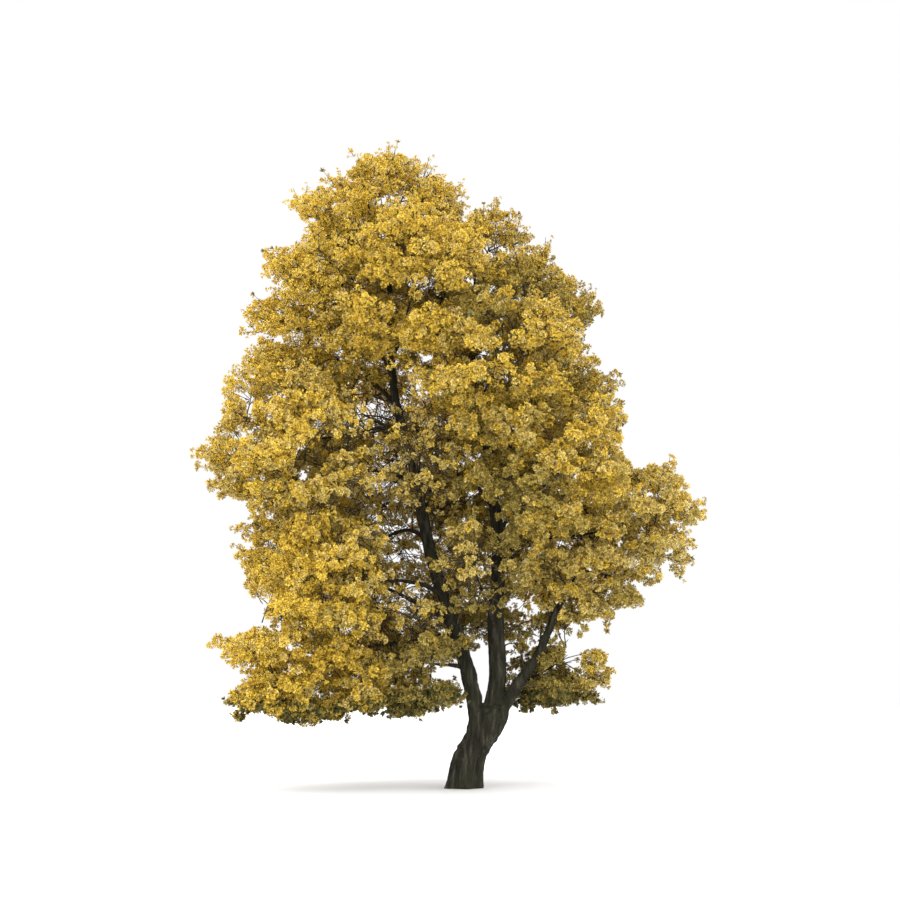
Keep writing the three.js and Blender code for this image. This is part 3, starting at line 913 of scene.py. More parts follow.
def trunk_mesh(sides=48, steps=40):
    """The trunk as a stack of lobed rings from its flat foot to a rounded top inside the fork."""
    lean = spline_run([(x, i, 0) for i, x in enumerate(TRUNK["lean"])], LEAN_POINTS)[:, :2]
    spans = len(TRUNK["lean"]) - 1
    shoulder = TRUNK["shoulder"] * TRUNK["height"]
    turns = 2 * math.pi * np.arange(sides) / sides
    rings = []
    for share in np.linspace(0, 1, steps + 1):
        below = min(share / DOME_FROM, 1)
        dome = max(0, (share - DOME_FROM) / (1 - DOME_FROM)) * TRUNK["dome_turn"] * math.pi
        height = shoulder * below ** TRUNK["foot_crowding"] + (TRUNK["height"] - shoulder) * math.sin(dome)
        middle = np.interp(min(height / TRUNK["height"], 1) * spans, lean[:, 1], lean[:, 0])
        near_ground = math.exp(-height / TRUNK["flare_height"])
        lobe = 1 + TRUNK["lobe_depth"] * near_ground * np.cos(TRUNK["lobes"] * turns + TRUNK["lobe_turn"])
        radius = (TRUNK["waist"] + TRUNK["flare"] * near_ground) * lobe * math.cos(dome)
        across = radius * (1 + TRUNK["fork_spread"] * (height / TRUNK["height"]) ** 3)
        rings.append(np.stack([middle + across * np.cos(turns), radius * np.sin(turns),
                               np.full(sides, height)], 1))
    rings = np.array(rings) * MM
    _, faces = tube_mesh(np.linspace([0, 0, 0], [0, 0, 1], steps + 1), np.ones(steps + 1), sides)
    return rings.reshape(-1, 3), faces


# %% Melt trunk and leaders into one skin
SKIN = dict(voxel=0.013, relax=0.5, rounds=6)
LEADER_SIDES = 14

leaders = limbs[:len(LEADERS)]
boughs = limbs[len(LEADERS):]
parts = [trunk_mesh()] + [tube_mesh(limb["line"], limb["radius"], LEADER_SIDES) for limb in leaders]
trunk_piece = new_piece("bark_trunk_and_leaders", *join_meshes(parts))
remesh = trunk_piece.modifiers.new("one_skin", "REMESH")
remesh.mode = "VOXEL"
remesh.voxel_size = SKIN["voxel"]
relax = trunk_piece.modifiers.new("soft_crotches", "SMOOTH")
relax.factor = SKIN["relax"]
relax.iterations = SKIN["rounds"]
skin = bpy.data.meshes.new_from_object(trunk_piece.evaluated_get(bpy.context.evaluated_depsgraph_get()))
trunk_piece.modifiers.clear()
trunk_piece.data = skin
skin.polygons.foreach_set("use_smooth", np.ones(len(skin.polygons), bool))
print("trunk skin faces:", len(skin.polygons))

# %% [markdown]
# ## Bark relief
# Old bark splits as the trunk thickens: long furrows first, then short cracks across the ridges. Noise that
# is stretched along the limb gives both, and a slow noise makes the furrows wander. Low on the front a deep
# seam shows where two stems have grown together. These move the skin's own points, so the outline of the
# trunk is rough too.

# %% Furrows, cracks and seam
FURROWS = dict(across=15.0, along=2.0, depth=0.030, ridge=0.35)
CRACKS = dict(across=42.0, along=9.0, depth=0.010, ridge=0.3)
WANDER = dict(strength=0.35, across=3, along=1.3, shift=0.1)


def points_and_normals(mesh):
    """A mesh's points and their normals, as two arrays."""
    points = np.empty(len(mesh.vertices) * 3, np.float32)
    normals = np.empty(len(mesh.vertices) * 3, np.float32)
    mesh.vertices.foreach_get("co", points)
    mesh.vertices.foreach_get("normal", normals)
    return points.reshape(-1, 3), normals.reshape(-1, 3)


def bark_relief(mesh, depth_at):
    """Moves a skin's points in and out along their normals to give it furrows and cracks."""
    points, normals = points_and_normals(mesh)
    shift = np.empty(len(points))
    for i, (x, y, z) in enumerate(points):
        across, along = WANDER["across"], WANDER["along"]
        wander = WANDER["strength"] * noise.noise((x * across, y * across, z * along))
        across, along = FURROWS["across"], FURROWS["along"]
        furrow = noise.noise(((x + wander * WANDER["shift"]) * across, y * across, z * along))
        across, along = CRACKS["across"], CRACKS["along"]
        crack = noise.noise((x * across, y * across, z * along))
        shift[i] = (abs(furrow) - FURROWS["ridge"]) * FURROWS["depth"]
        shift[i] += (abs(crack) - CRACKS["ridge"]) * CRACKS["depth"]
    points = points + normals * (shift * depth_at(points))[:, None]
    points[:, 2] = np.maximum(points[:, 2], 0)
    mesh.vertices.foreach_set("co", points.astype(np.float32).ravel())
    mesh.update()


SEAM = dict(path=((0.285, 1.20), (0.285, 1.125), (0.225, 0.78), (0.255, 0.555), (0.18, 0.18), (0.17, 0.0)),
            wide=0.035, depth=0.05, facing=1.6, fade_up=(0, 0.1, 0.3, 1.1, 1.25), fade=(0.4, 0.7, 1, 1, 0))


def seam_groove(mesh):
    """Sinks a groove down the front of the trunk, where two stems have grown together."""
    points, normals = points_and_normals(mesh)
    across, heights = np.array(SEAM["path"])[::-1].T
    aside = (points[:, 0] - np.interp(points[:, 2], heights, across)) / SEAM["wide"]
    facing = np.clip(-normals[:, 1] * SEAM["facing"], 0, 1)
    fade = np.interp(points[:, 2], SEAM["fade_up"], SEAM["fade"])
    sunk = SEAM["depth"] * np.exp(-aside**2) * facing * fade
    points = points + np.array([0, 1, 0]) * sunk[:, None]
    mesh.vertices.foreach_set("co", points.astype(np.float32).ravel())
    mesh.update()


RELIEF_FADE = dict(up=(0, 0.02, 0.15, 1.5, 3.5, 7), depth=(0, 0, 1, 1, 0.5, 0.25))


def depth_on_trunk(points):
    """Full relief on the trunk, fading up the thinner leaders, and none at the flat foot."""
    return np.interp(points[:, 2], RELIEF_FADE["up"], RELIEF_FADE["depth"])


seam_groove(skin)
bark_relief(skin, depth_on_trunk)
print("points with relief:", len(skin.vertices))

# %% [markdown]
# ## Boughs
# The boughs are thinner, so a tube of twelve sides is round enough. Each starts inside its limb, swells
# into a collar where it leaves, wanders a little, and runs on through its stem into the blossom, with no
# step where the solids have one. The same relief as on the trunk, much shallower, roughens their bark. The
# noise that makes boughs and twigs wander gets a seed, because Blender otherwise takes one from the clock
# and every run would differ.

# %% Bough tubes
COLLAR = dict(swell=0.55, length=0.10)
BOUGH_RELIEF = 0.3
BOUGH_STEP = 0.045
STEM_SLIM = 0.5
BOUGH_SIDES = 12
STEM_SIDES = 8
FEWEST_RINGS = 6
KNOTS = dict(scale=2.6, aside=0.02, full_from=0.4, swell=0.12, swell_scale=9)

noise.seed_set(SPRAY["seed"])


def slim_stem(limb):
    """The radii of a limb's stem, which thins out as its twigs leave it."""
    return limb["stem"]["radius"] * np.linspace(1, STEM_SLIM, STEM_POINTS)


def whole_bough(limb):
    """A bough and its stem as one line with one taper."""
    line = np.vstack([limb["line"], limb["stem"]["line"][1:]])
    radius = np.concatenate([limb["radius"], slim_stem(limb)[1:]])
    length = np.concatenate([[0], np.cumsum(np.linalg.norm(np.diff(line, axis=0), axis=1))])
    count = max(FEWEST_RINGS, int(length[-1] / BOUGH_STEP))
    wanted = np.linspace(0, length[-1], count)
    run = np.stack([np.interp(wanted, length, line[:, axis]) for axis in range(3)], 1)
    thick = np.interp(wanted, length, radius)
    thick = thick * (1 + COLLAR["swell"] * np.exp(-np.maximum(wanted - thick[0], 0) / COLLAR["length"]))
    knots = np.array([noise.noise_vector(Vector(point) * KNOTS["scale"]) for point in run])
    run = run + knots * KNOTS["aside"] * np.minimum(wanted / KNOTS["full_from"], 1)[:, None]
    swelling = np.array([noise.noise(Vector(point) * KNOTS["swell_scale"]) for point in run])
    return run, thick * (1 + KNOTS["swell"] * swelling)


bough_meshes = [tube_mesh(*whole_bough(limb), BOUGH_SIDES) for limb in boughs]
bough_meshes += [tube_mesh(limb["stem"]["line"], slim_stem(limb), STEM_SIDES) for limb in leaders]
bough_piece = new_piece("bark_boughs", *join_meshes(bough_meshes))
bark_relief(bough_piece.data, lambda points: np.full(len(points), BOUGH_RELIEF))
print("bough triangles:", len(bough_piece.data.polygons))

# %% [markdown]
# ## Twigs
# Twigs are thin, dark and mostly hidden, so three or four sides are enough. The main twigs and the twig of
# each spray bend a little under their load. Side twigs leave the boughs and leaders all along and arch over
# to sprays near them, so the inside of the crown, where the blossom is thin, is a tangle of them. Only
# sprays that bear heads, or stand where the crown is thin, get a twig, because a twig to an empty spray
# would end in the air.

# %% Side twigs of the limbs
SIDE_TWIG = dict(first=0.2, last=0.97, apart=0.16, nearest=0.3, furthest=1.3, downhill=0.5, thick=0.3,
                 thickest=18, thin=5, sides=4, arch=0.16)

bearing = np.union1d(head_spray, np.flatnonzero(in_window > IN_WINDOW))


def side_twigs(limb):
    """Twigs from points along a limb to sprays near it, no two to the same spray."""
    length = np.linalg.norm(np.diff(limb["line"], axis=0), axis=1).sum()
    shares = np.arange(SIDE_TWIG["first"], SIDE_TWIG["last"], SIDE_TWIG["apart"] / length)
    places = spray_heads[bearing]
    taken = np.zeros(len(places), bool)
    made = []
    for share in shares:
        at = whole(share * (RUN_POINTS - 1))
        root = limb["line"][at]
        downhill = SIDE_TWIG["downhill"] * np.maximum(0, root[2] - places[:, 2])
        distance = np.linalg.norm(places - root, axis=1) + downhill
        distance[taken | (distance < SIDE_TWIG["nearest"])] = np.inf
        spray = distance.argmin()
        if distance[spray] > SIDE_TWIG["furthest"]:
            continue
        taken[spray] = True
        thick = min(limb["radius"][at] * SIDE_TWIG["thick"], SIDE_TWIG["thickest"] * MM)
        thin = SIDE_TWIG["thin"] * MM
        made.append((root, places[spray], thick, thin, SIDE_TWIG["sides"], SIDE_TWIG["arch"]))
    return made


limb_twigs = [twig for limb in limbs for twig in side_twigs(limb)]
print("side twigs of limbs:", len(limb_twigs))

# %% Twig tubes
TWIG_POINTS = 5
TWIG_WANDER = 0.09
TWIG_KNOTS = 3.1
MAIN_TWIG = dict(thick=0.42, thin=6, points=8)
SPRAY_TWIG = dict(thick=7, thicker=6, thin=5)


def bent_twig(root, end, thick, thin, sides=3, sag=0.08, count=TWIG_POINTS):
    """A twig that rises and then levels out, and wanders a little on the way."""
    share = np.linspace(0, 1, count)[:, None]
    lift = np.array([0, 0, sag * np.linalg.norm(end - root)])
    line = root + (end - root) * share + lift * np.sin(math.pi * share)
    wander = np.array([noise.noise_vector(Vector(point) * TWIG_KNOTS) for point in line])
    line = line + wander * TWIG_WANDER * np.linalg.norm(end - root) * np.sin(math.pi * share)
    return tube_mesh(line, np.linspace(thick, thin, count), sides)


twig_meshes = []
for limb, root, end in mains:
    thick = limb["radius"][-1] * MAIN_TWIG["thick"]
    twig_meshes.append(bent_twig(root, end, thick, MAIN_TWIG["thin"] * MM, count=MAIN_TWIG["points"]))
for spray in [sprays[number] for number in bearing]:
    thick = (SPRAY_TWIG["thick"] + SPRAY_TWIG["thicker"] * spray["size"]) * MM
    twig_meshes.append(bent_twig(spray["root"], spray["head"], thick, SPRAY_TWIG["thin"] * MM))
twig_meshes += [bent_twig(*twig, count=MAIN_TWIG["points"]) for twig in limb_twigs]
twig_piece = new_piece("twigs", *join_meshes(twig_meshes))
print("twig triangles:", len(twig_piece.data.polygons))

# %% [markdown]
# ## Stalks
# There are tens of thousands of stalks, each a few millimetres thick. A fine twig is a straight tube of
# three sides with open ends, and a head's own stalk is one narrow blade that ends in a point. Both are
# worked out for all stalks at once, because a loop over so many would take minutes.

# %% Stalks and blades
ACROSS_STALKS = (0.31, 0.17, 0.94)
BLADE_WIDE = 0.010


def stalk_arrays(stalks):
    """All straight stalks at once, as open tubes of three sides."""
    starts = np.array([stalk[0] for stalk in stalks])
    ends = np.array([stalk[1] for stalk in stalks])
    thick = np.array([stalk[2:] for stalk in stalks]) * MM
    run = unit(ends - starts)
    side = unit(np.cross(run, ACROSS_STALKS))
    other = np.cross(run, side)
    turns = 2 * math.pi * np.arange(3) / 3
    ring = np.cos(turns)[None, :, None] * side[:, None] + np.sin(turns)[None, :, None] * other[:, None]
    foot = starts[:, None] + ring * thick[:, :1, None]
    top = ends[:, None] + ring * thick[:, 1:, None]
    points = np.concatenate([foot, top], axis=1).reshape(-1, 3)
    one = np.array([(0, 1, 4), (0, 4, 3), (1, 2, 5), (1, 5, 4), (2, 0, 3), (2, 3, 5)])
    faces = (one[None] + 6 * np.arange(len(stalks))[:, None, None]).reshape(-1, 3)
    return points, faces


def blade_arrays(spikes):
    """All pointed stalks at once, each as one narrow blade."""
    starts, ends = spikes[:, 0], spikes[:, 1]
    half = unit(np.cross(ends - starts, ACROSS_STALKS)) * BLADE_WIDE / 2
    points = np.stack([starts - half, starts + half, ends], 1)
    return points.reshape(-1, 3), np.arange(3 * len(spikes)).reshape(-1, 3)


stalk_piece = new_piece("stalks", *join_meshes([stalk_arrays(stalks), blade_arrays(spikes)]))
print("stalk triangles:", len(stalk_piece.data.polygons))

# %% [markdown]
# ## Heads of trumpet flowers
# A flower head is a loose ball of trumpets. One trumpet opens from a narrow throat into lobes with ruffled
# ends. At this distance one triangle for each lobe shows its outline, with slits between them, and four
# lobes are enough. The flowers are drawn somewhat larger than life, so that fewer of them fill the crown.
# High up, where the heads are smaller and more, they have fewer flowers of three lobes. Each point of a
# template carries a number called tip, 0 in the throat and 1 at the edge, so that the colour can darken
# into the throat, partly as the throat's own deeper colour and partly as painted shade in the head's middle.

# %% Template heads
FULL_HEAD = dict(flowers=5, lobes=4, lobe=0.52)
SMALL_HEAD = dict(flowers=4, lobes=3, lobe=0.75)
HEAD_SHAPES = 8
HEAD = dict(seed=100, down=1.4, jitter=(0.1, 0.7), turn=0.08, spin=1.2)
TRUMPET = dict(length=0.052, throat=0.4, mouth=0.036, ruffle=0.010, uneven=(0.75, 1.25))


def trumpet(direction, length, spin, kind, draw):
    """One trumpet from the middle of a head: its throat, then both ends of each lobe's edge."""
    side = unit(np.cross(direction, ACROSS_STALKS))
    other = np.cross(direction, side)
    turns = 2 * math.pi * np.arange(kind["lobes"]) / kind["lobes"] + spin
    ends = np.stack([turns - kind["lobe"], turns + kind["lobe"]], 1).ravel()
    rim = np.cos(ends)[:, None] * side + np.sin(ends)[:, None] * other
    deep = length + draw.normal(0, TRUMPET["ruffle"], len(ends))
    wide = TRUMPET["mouth"] * draw.uniform(*TRUMPET["uneven"], len(ends))
    throat = direction * length * TRUMPET["throat"]
    return np.vstack([throat, direction * deep[:, None] + rim * wide[:, None]])


def head_template(kind, shape):
    """The flowers of one head that points along +Z: points, faces and each point's tip."""
    draw = np.random.default_rng(HEAD["seed"] + shape)
    points, faces, tips = [], [], []
    for flower in range(kind["flowers"]):
        height = 1 - HEAD["down"] * (flower + draw.uniform(*HEAD["jitter"])) / kind["flowers"]
        turn = 2 * math.pi * (flower * GOLDEN_TURN + draw.uniform(-HEAD["turn"], HEAD["turn"]))
        level = math.sqrt(1 - height**2)
        direction = np.array([level * math.cos(turn), level * math.sin(turn), height])
        base = len(points)
        length = TRUMPET["length"] * draw.uniform(*TRUMPET["uneven"])
        points += [*trumpet(direction, length, draw.uniform(0, HEAD["spin"]), kind, draw)]
        faces += [(base, base + 1 + 2 * lobe, base + 2 + 2 * lobe) for lobe in range(kind["lobes"])]
        tips += [0] + 2 * kind["lobes"] * [1]
    return np.array(points), np.array(faces), tips


def template_collection(name, meshes):
    """A collection of template objects that is not part of the scene itself."""
    collection = bpy.data.collections.new(name)
    for number, (points, faces, tips) in enumerate(meshes):
        piece = new_piece(f"{name}_{number:02d}", points, faces)
        layer = piece.data.attributes.new("tip", "FLOAT", "POINT")
        layer.data.foreach_set("value", np.array(tips, np.float32))
        bpy.context.collection.objects.unlink(piece)
        collection.objects.link(piece)
    return collection


head_meshes = [head_template(kind, shape) for kind in (FULL_HEAD, SMALL_HEAD) for shape in range(HEAD_SHAPES)]
head_templates = template_collection("flower_head", head_meshes)
print("template heads:", len(head_meshes))

# %% [markdown]
# ## Geometry Nodes set the heads on the twigs
# Every flower head is the same few shapes, turned outwards, so this is work for Geometry Nodes. Each head
# is a point with four attributes: its outward direction, a spin, a size and which template it takes. The
# tree puts an instance on each point, then realizes the instances and sets the material, because only plain
# meshes are exported.

# %% A node tree that sets shapes on points
def shapes_on_points_tree():
    tree = bpy.data.node_groups.new("shapes_on_points", "GeometryNodeTree")
    tree.interface.new_socket("Points", in_out="INPUT", socket_type="NodeSocketGeometry")
    tree.interface.new_socket("Shapes", in_out="INPUT", socket_type="NodeSocketCollection")
    tree.interface.new_socket("Material", in_out="INPUT", socket_type="NodeSocketMaterial")
    tree.interface.new_socket("Mesh", in_out="OUTPUT", socket_type="NodeSocketGeometry")
    nodes, links = tree.nodes, tree.links
    given, made = nodes.new("NodeGroupInput"), nodes.new("NodeGroupOutput")
    shapes = nodes.new("GeometryNodeCollectionInfo")
    shapes.inputs["Separate Children"].default_value = True
    shapes.inputs["Reset Children"].default_value = True

    def attribute(name, kind):
        node = nodes.new("GeometryNodeInputNamedAttribute")
        node.data_type = kind
        node.inputs["Name"].default_value = name
        return node.outputs["Attribute"]

    align = nodes.new("FunctionNodeAlignRotationToVector")
    align.axis = "Z"
    spin = nodes.new("FunctionNodeAxisAngleToRotation")
    spin.inputs["Axis"].default_value = (0, 0, 1)
    turn = nodes.new("FunctionNodeRotateRotation")
    turn.rotation_space = "LOCAL"
    place = nodes.new("GeometryNodeInstanceOnPoints")
    place.inputs["Pick Instance"].default_value = True
    realize = nodes.new("GeometryNodeRealizeInstances")
    colour = nodes.new("GeometryNodeSetMaterial")
    links.new(given.outputs["Shapes"], shapes.inputs["Collection"])
    links.new(attribute("outward", "FLOAT_VECTOR"), align.inputs["Vector"])
    links.new(attribute("spin", "FLOAT"), spin.inputs["Angle"])
    links.new(align.outputs["Rotation"], turn.inputs["Rotation"])
    links.new(spin.outputs["Rotation"], turn.inputs["Rotate By"])
    links.new(given.outputs["Points"], place.inputs["Points"])
    links.new(shapes.outputs["Instances"], place.inputs["Instance"])
    links.new(attribute("shape", "INT"), place.inputs["Instance Index"])
    links.new(turn.outputs["Rotation"], place.inputs["Rotation"])
    links.new(attribute("size", "FLOAT"), place.inputs["Scale"])
    links.new(place.outputs["Instances"], realize.inputs["Geometry"])
    links.new(realize.outputs["Geometry"], colour.inputs["Geometry"])
    links.new(given.outputs["Material"], colour.inputs["Material"])
    links.new(colour.outputs["Geometry"], made.inputs["Mesh"])
    return tree


shapes_on_points = shapes_on_points_tree()

# %% Points with attributes, and the tree on them
POINT_LAYERS = (("outward", "FLOAT_VECTOR", "vector"), ("spin", "FLOAT", "value"), ("size", "FLOAT", "value"),
                ("shape", "INT", "value"))


def set_shapes(name, points, outward, spin, size, shape, templates, material):
    """One joined mesh of template shapes on points."""
    piece = new_piece(name, points, np.empty((0, 3), int))
    for (label, kind, field), values in zip(POINT_LAYERS, (outward, spin, size, shape)):
        layer = piece.data.attributes.new(label, kind, "POINT")
        layer.data.foreach_set(field, np.asarray(values, np.int32 if kind == "INT" else np.float32).ravel())
    modifier = piece.modifiers.new("shapes", "NODES")
    modifier.node_group = shapes_on_points
    sockets = {item.name: item.identifier for item in shapes_on_points.interface.items_tree
               if item.in_out == "INPUT"}
    modifier[sockets["Shapes"]] = templates
    modifier[sockets["Material"]] = material
    bpy.context.view_layer.update()
    mesh = bpy.data.meshes.new_from_object(piece.evaluated_get(bpy.context.evaluated_depsgraph_get()))
    piece.modifiers.remove(modifier)
    piece.data = mesh
    for label, *_ in POINT_LAYERS:
        if label in mesh.attributes:
            mesh.attributes.remove(mesh.attributes[label])
    return piece


# %% [markdown]
# ## Petal colours
# From a few steps away the crown is not one yellow: it runs from bright gold through ochre to olive, and part
# of that is painted light and shade. Each spray is dealt one of a few plain tints: brighter the further out
# in the crown it sits and the more it faces the sun, darker and more olive on the shaded inside and
# underside, by which part of the crown it belongs to, and partly by chance. Close up, a petal is paler and
# duller in places, crinkled, and darker down in its throat, partly its own colour and partly painted shade.
# One node group adds that to every tint, and the leaves share it.

# %% A node group for petals and leaves
NOISE_HALF = 0.2
PETAL_SHADES = ((0.50, 0.435, 0.34), (1.00, 1.00, 1.12))
BLOTCH_MIDDLE = 0.42
PETAL_ROUGHNESS = (0.8, 0.6)
THROAT_COLOUR_AND_SHADE = dict(dark=0.38, pale=1.08)


def mapped(nodes, links, source, low, high, middle=0.5):
    """A noise's value spread out between two others."""
    node = nodes.new("ShaderNodeMapRange")
    node.inputs["From Min"].default_value = middle - NOISE_HALF
    node.inputs["From Max"].default_value = middle + NOISE_HALF
    node.inputs["To Min"].default_value = low
    node.inputs["To Max"].default_value = high
    links.new(source, node.inputs["Value"])
    return node.outputs["Result"]


def petal_group():
    """Blotches, crinkles, and throats darkened partly by their own colour and partly as painted shade, for
    any tint.
    """
    group = bpy.data.node_groups.new("petal_pattern", "ShaderNodeTree")
    group.interface.new_socket("Tint", in_out="INPUT", socket_type="NodeSocketColor")
    for label, value in (("Blotch Scale", 34.0), ("Crinkle Scale", 150.0)):
        socket = group.interface.new_socket(label, in_out="INPUT", socket_type="NodeSocketFloat")
        socket.default_value = value
    group.interface.new_socket("Colour", in_out="OUTPUT", socket_type="NodeSocketColor")
    for label in ("Roughness", "Crinkle"):
        group.interface.new_socket(label, in_out="OUTPUT", socket_type="NodeSocketFloat")
    nodes, links = group.nodes, group.links
    given, made = nodes.new("NodeGroupInput"), nodes.new("NodeGroupOutput")
    place = nodes.new("ShaderNodeTexCoord")
    values = []
    for label in ("Blotch Scale", "Crinkle Scale"):
        texture = nodes.new("ShaderNodeTexNoise")
        texture.inputs["Detail"].default_value = 1
        links.new(place.outputs["Object"], texture.inputs["Vector"])
        links.new(given.outputs[label], texture.inputs["Scale"])
        values.append(texture.outputs["Fac"])
    shades = []
    for shade in PETAL_SHADES:
        tinted = nodes.new("ShaderNodeVectorMath")
        tinted.operation = "MULTIPLY"
        tinted.inputs[1].default_value = shade
        links.new(given.outputs["Tint"], tinted.inputs[0])
        shades.append(tinted.outputs["Vector"])
    mix = nodes.new("ShaderNodeMix")
    mix.data_type = "RGBA"
    links.new(mapped(nodes, links, values[0], 0, 1, middle=BLOTCH_MIDDLE), mix.inputs[0])
    links.new(shades[0], mix.inputs[6])
    links.new(shades[1], mix.inputs[7])
    # The throat darkens, partly its own colour and partly painted shade in the middle of each head.
    tip = nodes.new("ShaderNodeAttribute")
    tip.attribute_name = "tip"
    deep = nodes.new("ShaderNodeMapRange")
    deep.inputs["To Min"].default_value = THROAT_COLOUR_AND_SHADE["dark"]
    deep.inputs["To Max"].default_value = THROAT_COLOUR_AND_SHADE["pale"]
    links.new(tip.outputs["Fac"], deep.inputs["Value"])
    shaded = nodes.new("ShaderNodeVectorMath")
    shaded.operation = "SCALE"
    links.new(mix.outputs[2], shaded.inputs[0])
    links.new(deep.outputs["Result"], shaded.inputs["Scale"])
    links.new(shaded.outputs["Vector"], made.inputs["Colour"])
    links.new(mapped(nodes, links, values[0], *PETAL_ROUGHNESS), made.inputs["Roughness"])
    links.new(values[1], made.inputs["Crinkle"])
    return group


petal_pattern = petal_group()

# %% Petal materials
PETAL_TINTS = {
    "moss": (0.36, 0.28, 0.062),
    "olive": (0.51, 0.385, 0.076),
    "ochre": (0.69, 0.475, 0.060),
    "old_gold": (0.79, 0.555, 0.066),
    "gold": (0.87, 0.62, 0.077),
    "bright_gold": (0.92, 0.675, 0.096),
    "khaki": (0.62, 0.485, 0.125),
    "straw": (0.74, 0.575, 0.148),
    "pale_gold": (0.84, 0.655, 0.180),
}
PETAL = dict(specular=0.1, crinkle=0.25, crinkle_depth=0.004)


def petal_material(name, tint):
    """A material of one tint with the shared pattern of petals."""
    material = bpy.data.materials.new(name)
    material.use_nodes = True
    material.diffuse_color = (*tint, 1)
    nodes, links = material.node_tree.nodes, material.node_tree.links
    shader = nodes["Principled BSDF"]
    shader.inputs["Specular IOR Level"].default_value = PETAL["specular"]
    pattern = nodes.new("ShaderNodeGroup")
    pattern.node_tree = petal_pattern
    pattern.inputs["Tint"].default_value = (*tint, 1)
    crinkle = nodes.new("ShaderNodeBump")
    crinkle.inputs["Strength"].default_value = PETAL["crinkle"]
    crinkle.inputs["Distance"].default_value = PETAL["crinkle_depth"]
    links.new(pattern.outputs["Colour"], shader.inputs["Base Color"])
    links.new(pattern.outputs["Roughness"], shader.inputs["Roughness"])
    links.new(pattern.outputs["Crinkle"], crinkle.inputs["Height"])
    links.new(crinkle.outputs["Normal"], shader.inputs["Normal"])
    return material


petal_materials = {name: petal_material("petal_" + name, tint) for name, tint in PETAL_TINTS.items()}
print("petal tints:", len(petal_materials))

# %% [markdown]
# ## Which part of the crown is bright or cool
# The tints run in two rows, a warm one and a cool one, from dark to bright. Each mass has a tone, which
# moves its sprays up or down the rows, and a coolness, which is the chance that a head takes its tint from
# the cool row. The tones are partly the blossom's own and partly painted light and shade. Where a smaller
# part of the crown is brighter or darker than its mass, an oval as for the gaps adds its own tone, also
# partly painted light and shade. The thin window in the middle gets brighter tints as painted light, and the
# low shade round the leaders darker ones as painted shade.

# %% Tones of the crown
SUNNY_SIDE = unit(np.array([-0.5, -0.55, 0.67]))
CROWN_AXIS = dict(foot=(0.2, 0.1), top=(-0.9, 0.2), height=9.0)
HALF_WIDTH = dict(up=(0.5, 2, 5, 8, 10), half=(2.0, 3.0, 3.2, 2.0, 0.8))
WARM_TINTS = ("moss", "olive", "ochre", "old_gold", "gold", "bright_gold")
COOL_TINTS = ("moss", "olive", "khaki", "straw", "pale_gold", "pale_gold")
# Tones of the masses, partly the blossom's own and partly painted light and shade.
MASS_TONE_AND_PAINTED_LIGHT = dict(crown_top=0.12, top_left=0.12, shoulder_left=0.12, left=-0.1, bottom_left=0.12, front_top=0.04,
            top_right=-0.24, shoulder_right=-0.32, right=-0.2, far_right=-0.05, right_low=-0.12,
            front_side=-0.06, front_right=-0.04, front_middle=-0.16, bottom_right=-0.2, bottom_middle=0.14,
            back_right=-0.1, back_low=-0.1)
COOL = dict(right=0.6, far_right=0.85, right_low=0.8, front_side=0.55, bottom_right=0.7, shoulder_right=0.45,
            front_middle=0.8, front_heart=0.7, heart=0.7, back_low=0.7, back_middle=0.6, back_bottom=0.6,
            bottom_middle=0.6, front_left=0.5, left_low=0.45, left=0.55, top_right=0.35, front_right=0.4)
COOL_ELSEWHERE = 0.2
# Ovals of tone, partly painted light and shade.
SPOTS_OF_TONE_AND_PAINTED_LIGHT = [
    dict(across=1.95, up=1.66, wide=0.45, tall=0.60, tone=0.30),
    dict(across=0.45, up=7.30, wide=0.90, tall=0.70, tone=-0.42),
    dict(across=0.95, up=4.40, wide=0.85, tall=0.80, tone=-0.42),
    dict(across=1.50, up=6.00, wide=0.80, tall=0.70, tone=-0.15),
    dict(across=-1.00, up=5.90, wide=0.90, tall=0.75, tone=0.35),
    dict(across=-0.95, up=7.25, wide=0.70, tall=0.45, tone=0.30),
    dict(across=-0.95, up=7.95, wide=0.60, tall=0.35, tone=-0.25),
    dict(across=-0.40, up=1.90, wide=0.50, tall=0.45, tone=-0.30),
    dict(across=1.45, up=3.05, wide=0.65, tall=0.60, tone=0.22),
]
# Painted light: sprays in the thin window get brighter tints.
WINDOW_PAINTED_LIGHT = 0.2
WINDOW_SMALLER = 0.28
# Painted shade low round the leaders: darker, cooler tints there, and smaller heads.
LOW_INSIDE = dict(across=0.35, top=3.5, deep=1.4, wide=1.7, forward=0.5, fade=1.6, tone=-0.36, smaller=0.2)

# %% [markdown]
# ## Dealing the tints
# A spray's score is the sum of what makes its tint bright: how far out it sits and how far it faces the
# light, which are painted light and shade, its tones, and a little chance. Painted shade low round the
# leaders takes some off. Sprays inside the crown are also given cooler tints, as painted shade.

# %% Deal the tints to the sprays
# The outer and facing weights paint light and shade: far out in the crown and facing the sun is brighter.
PAINTED_LIGHT_SCORE = dict(least=0.4, outer=0.3, facing=0.15, uneven=0.06)
# Painted shade: sprays deep inside the crown are given cooler tints.
INSIDE_PAINTED_SHADE_COOL = 0.8
COOL_UNEVEN = (0.6, 1.2)
SPOT_FADE = 1.5


def out_in_crown(point):
    """How far out from the crown's middle line a point is, as a share of the crown's half width there."""
    share = point[2] / CROWN_AXIS["height"]
    middle = np.array(CROWN_AXIS["foot"]) * (1 - share) + np.array(CROWN_AXIS["top"]) * share
    half = np.interp(point[2], HALF_WIDTH["up"], HALF_WIDTH["half"])
    return min(np.linalg.norm(point[:2] - middle) / half, 1)


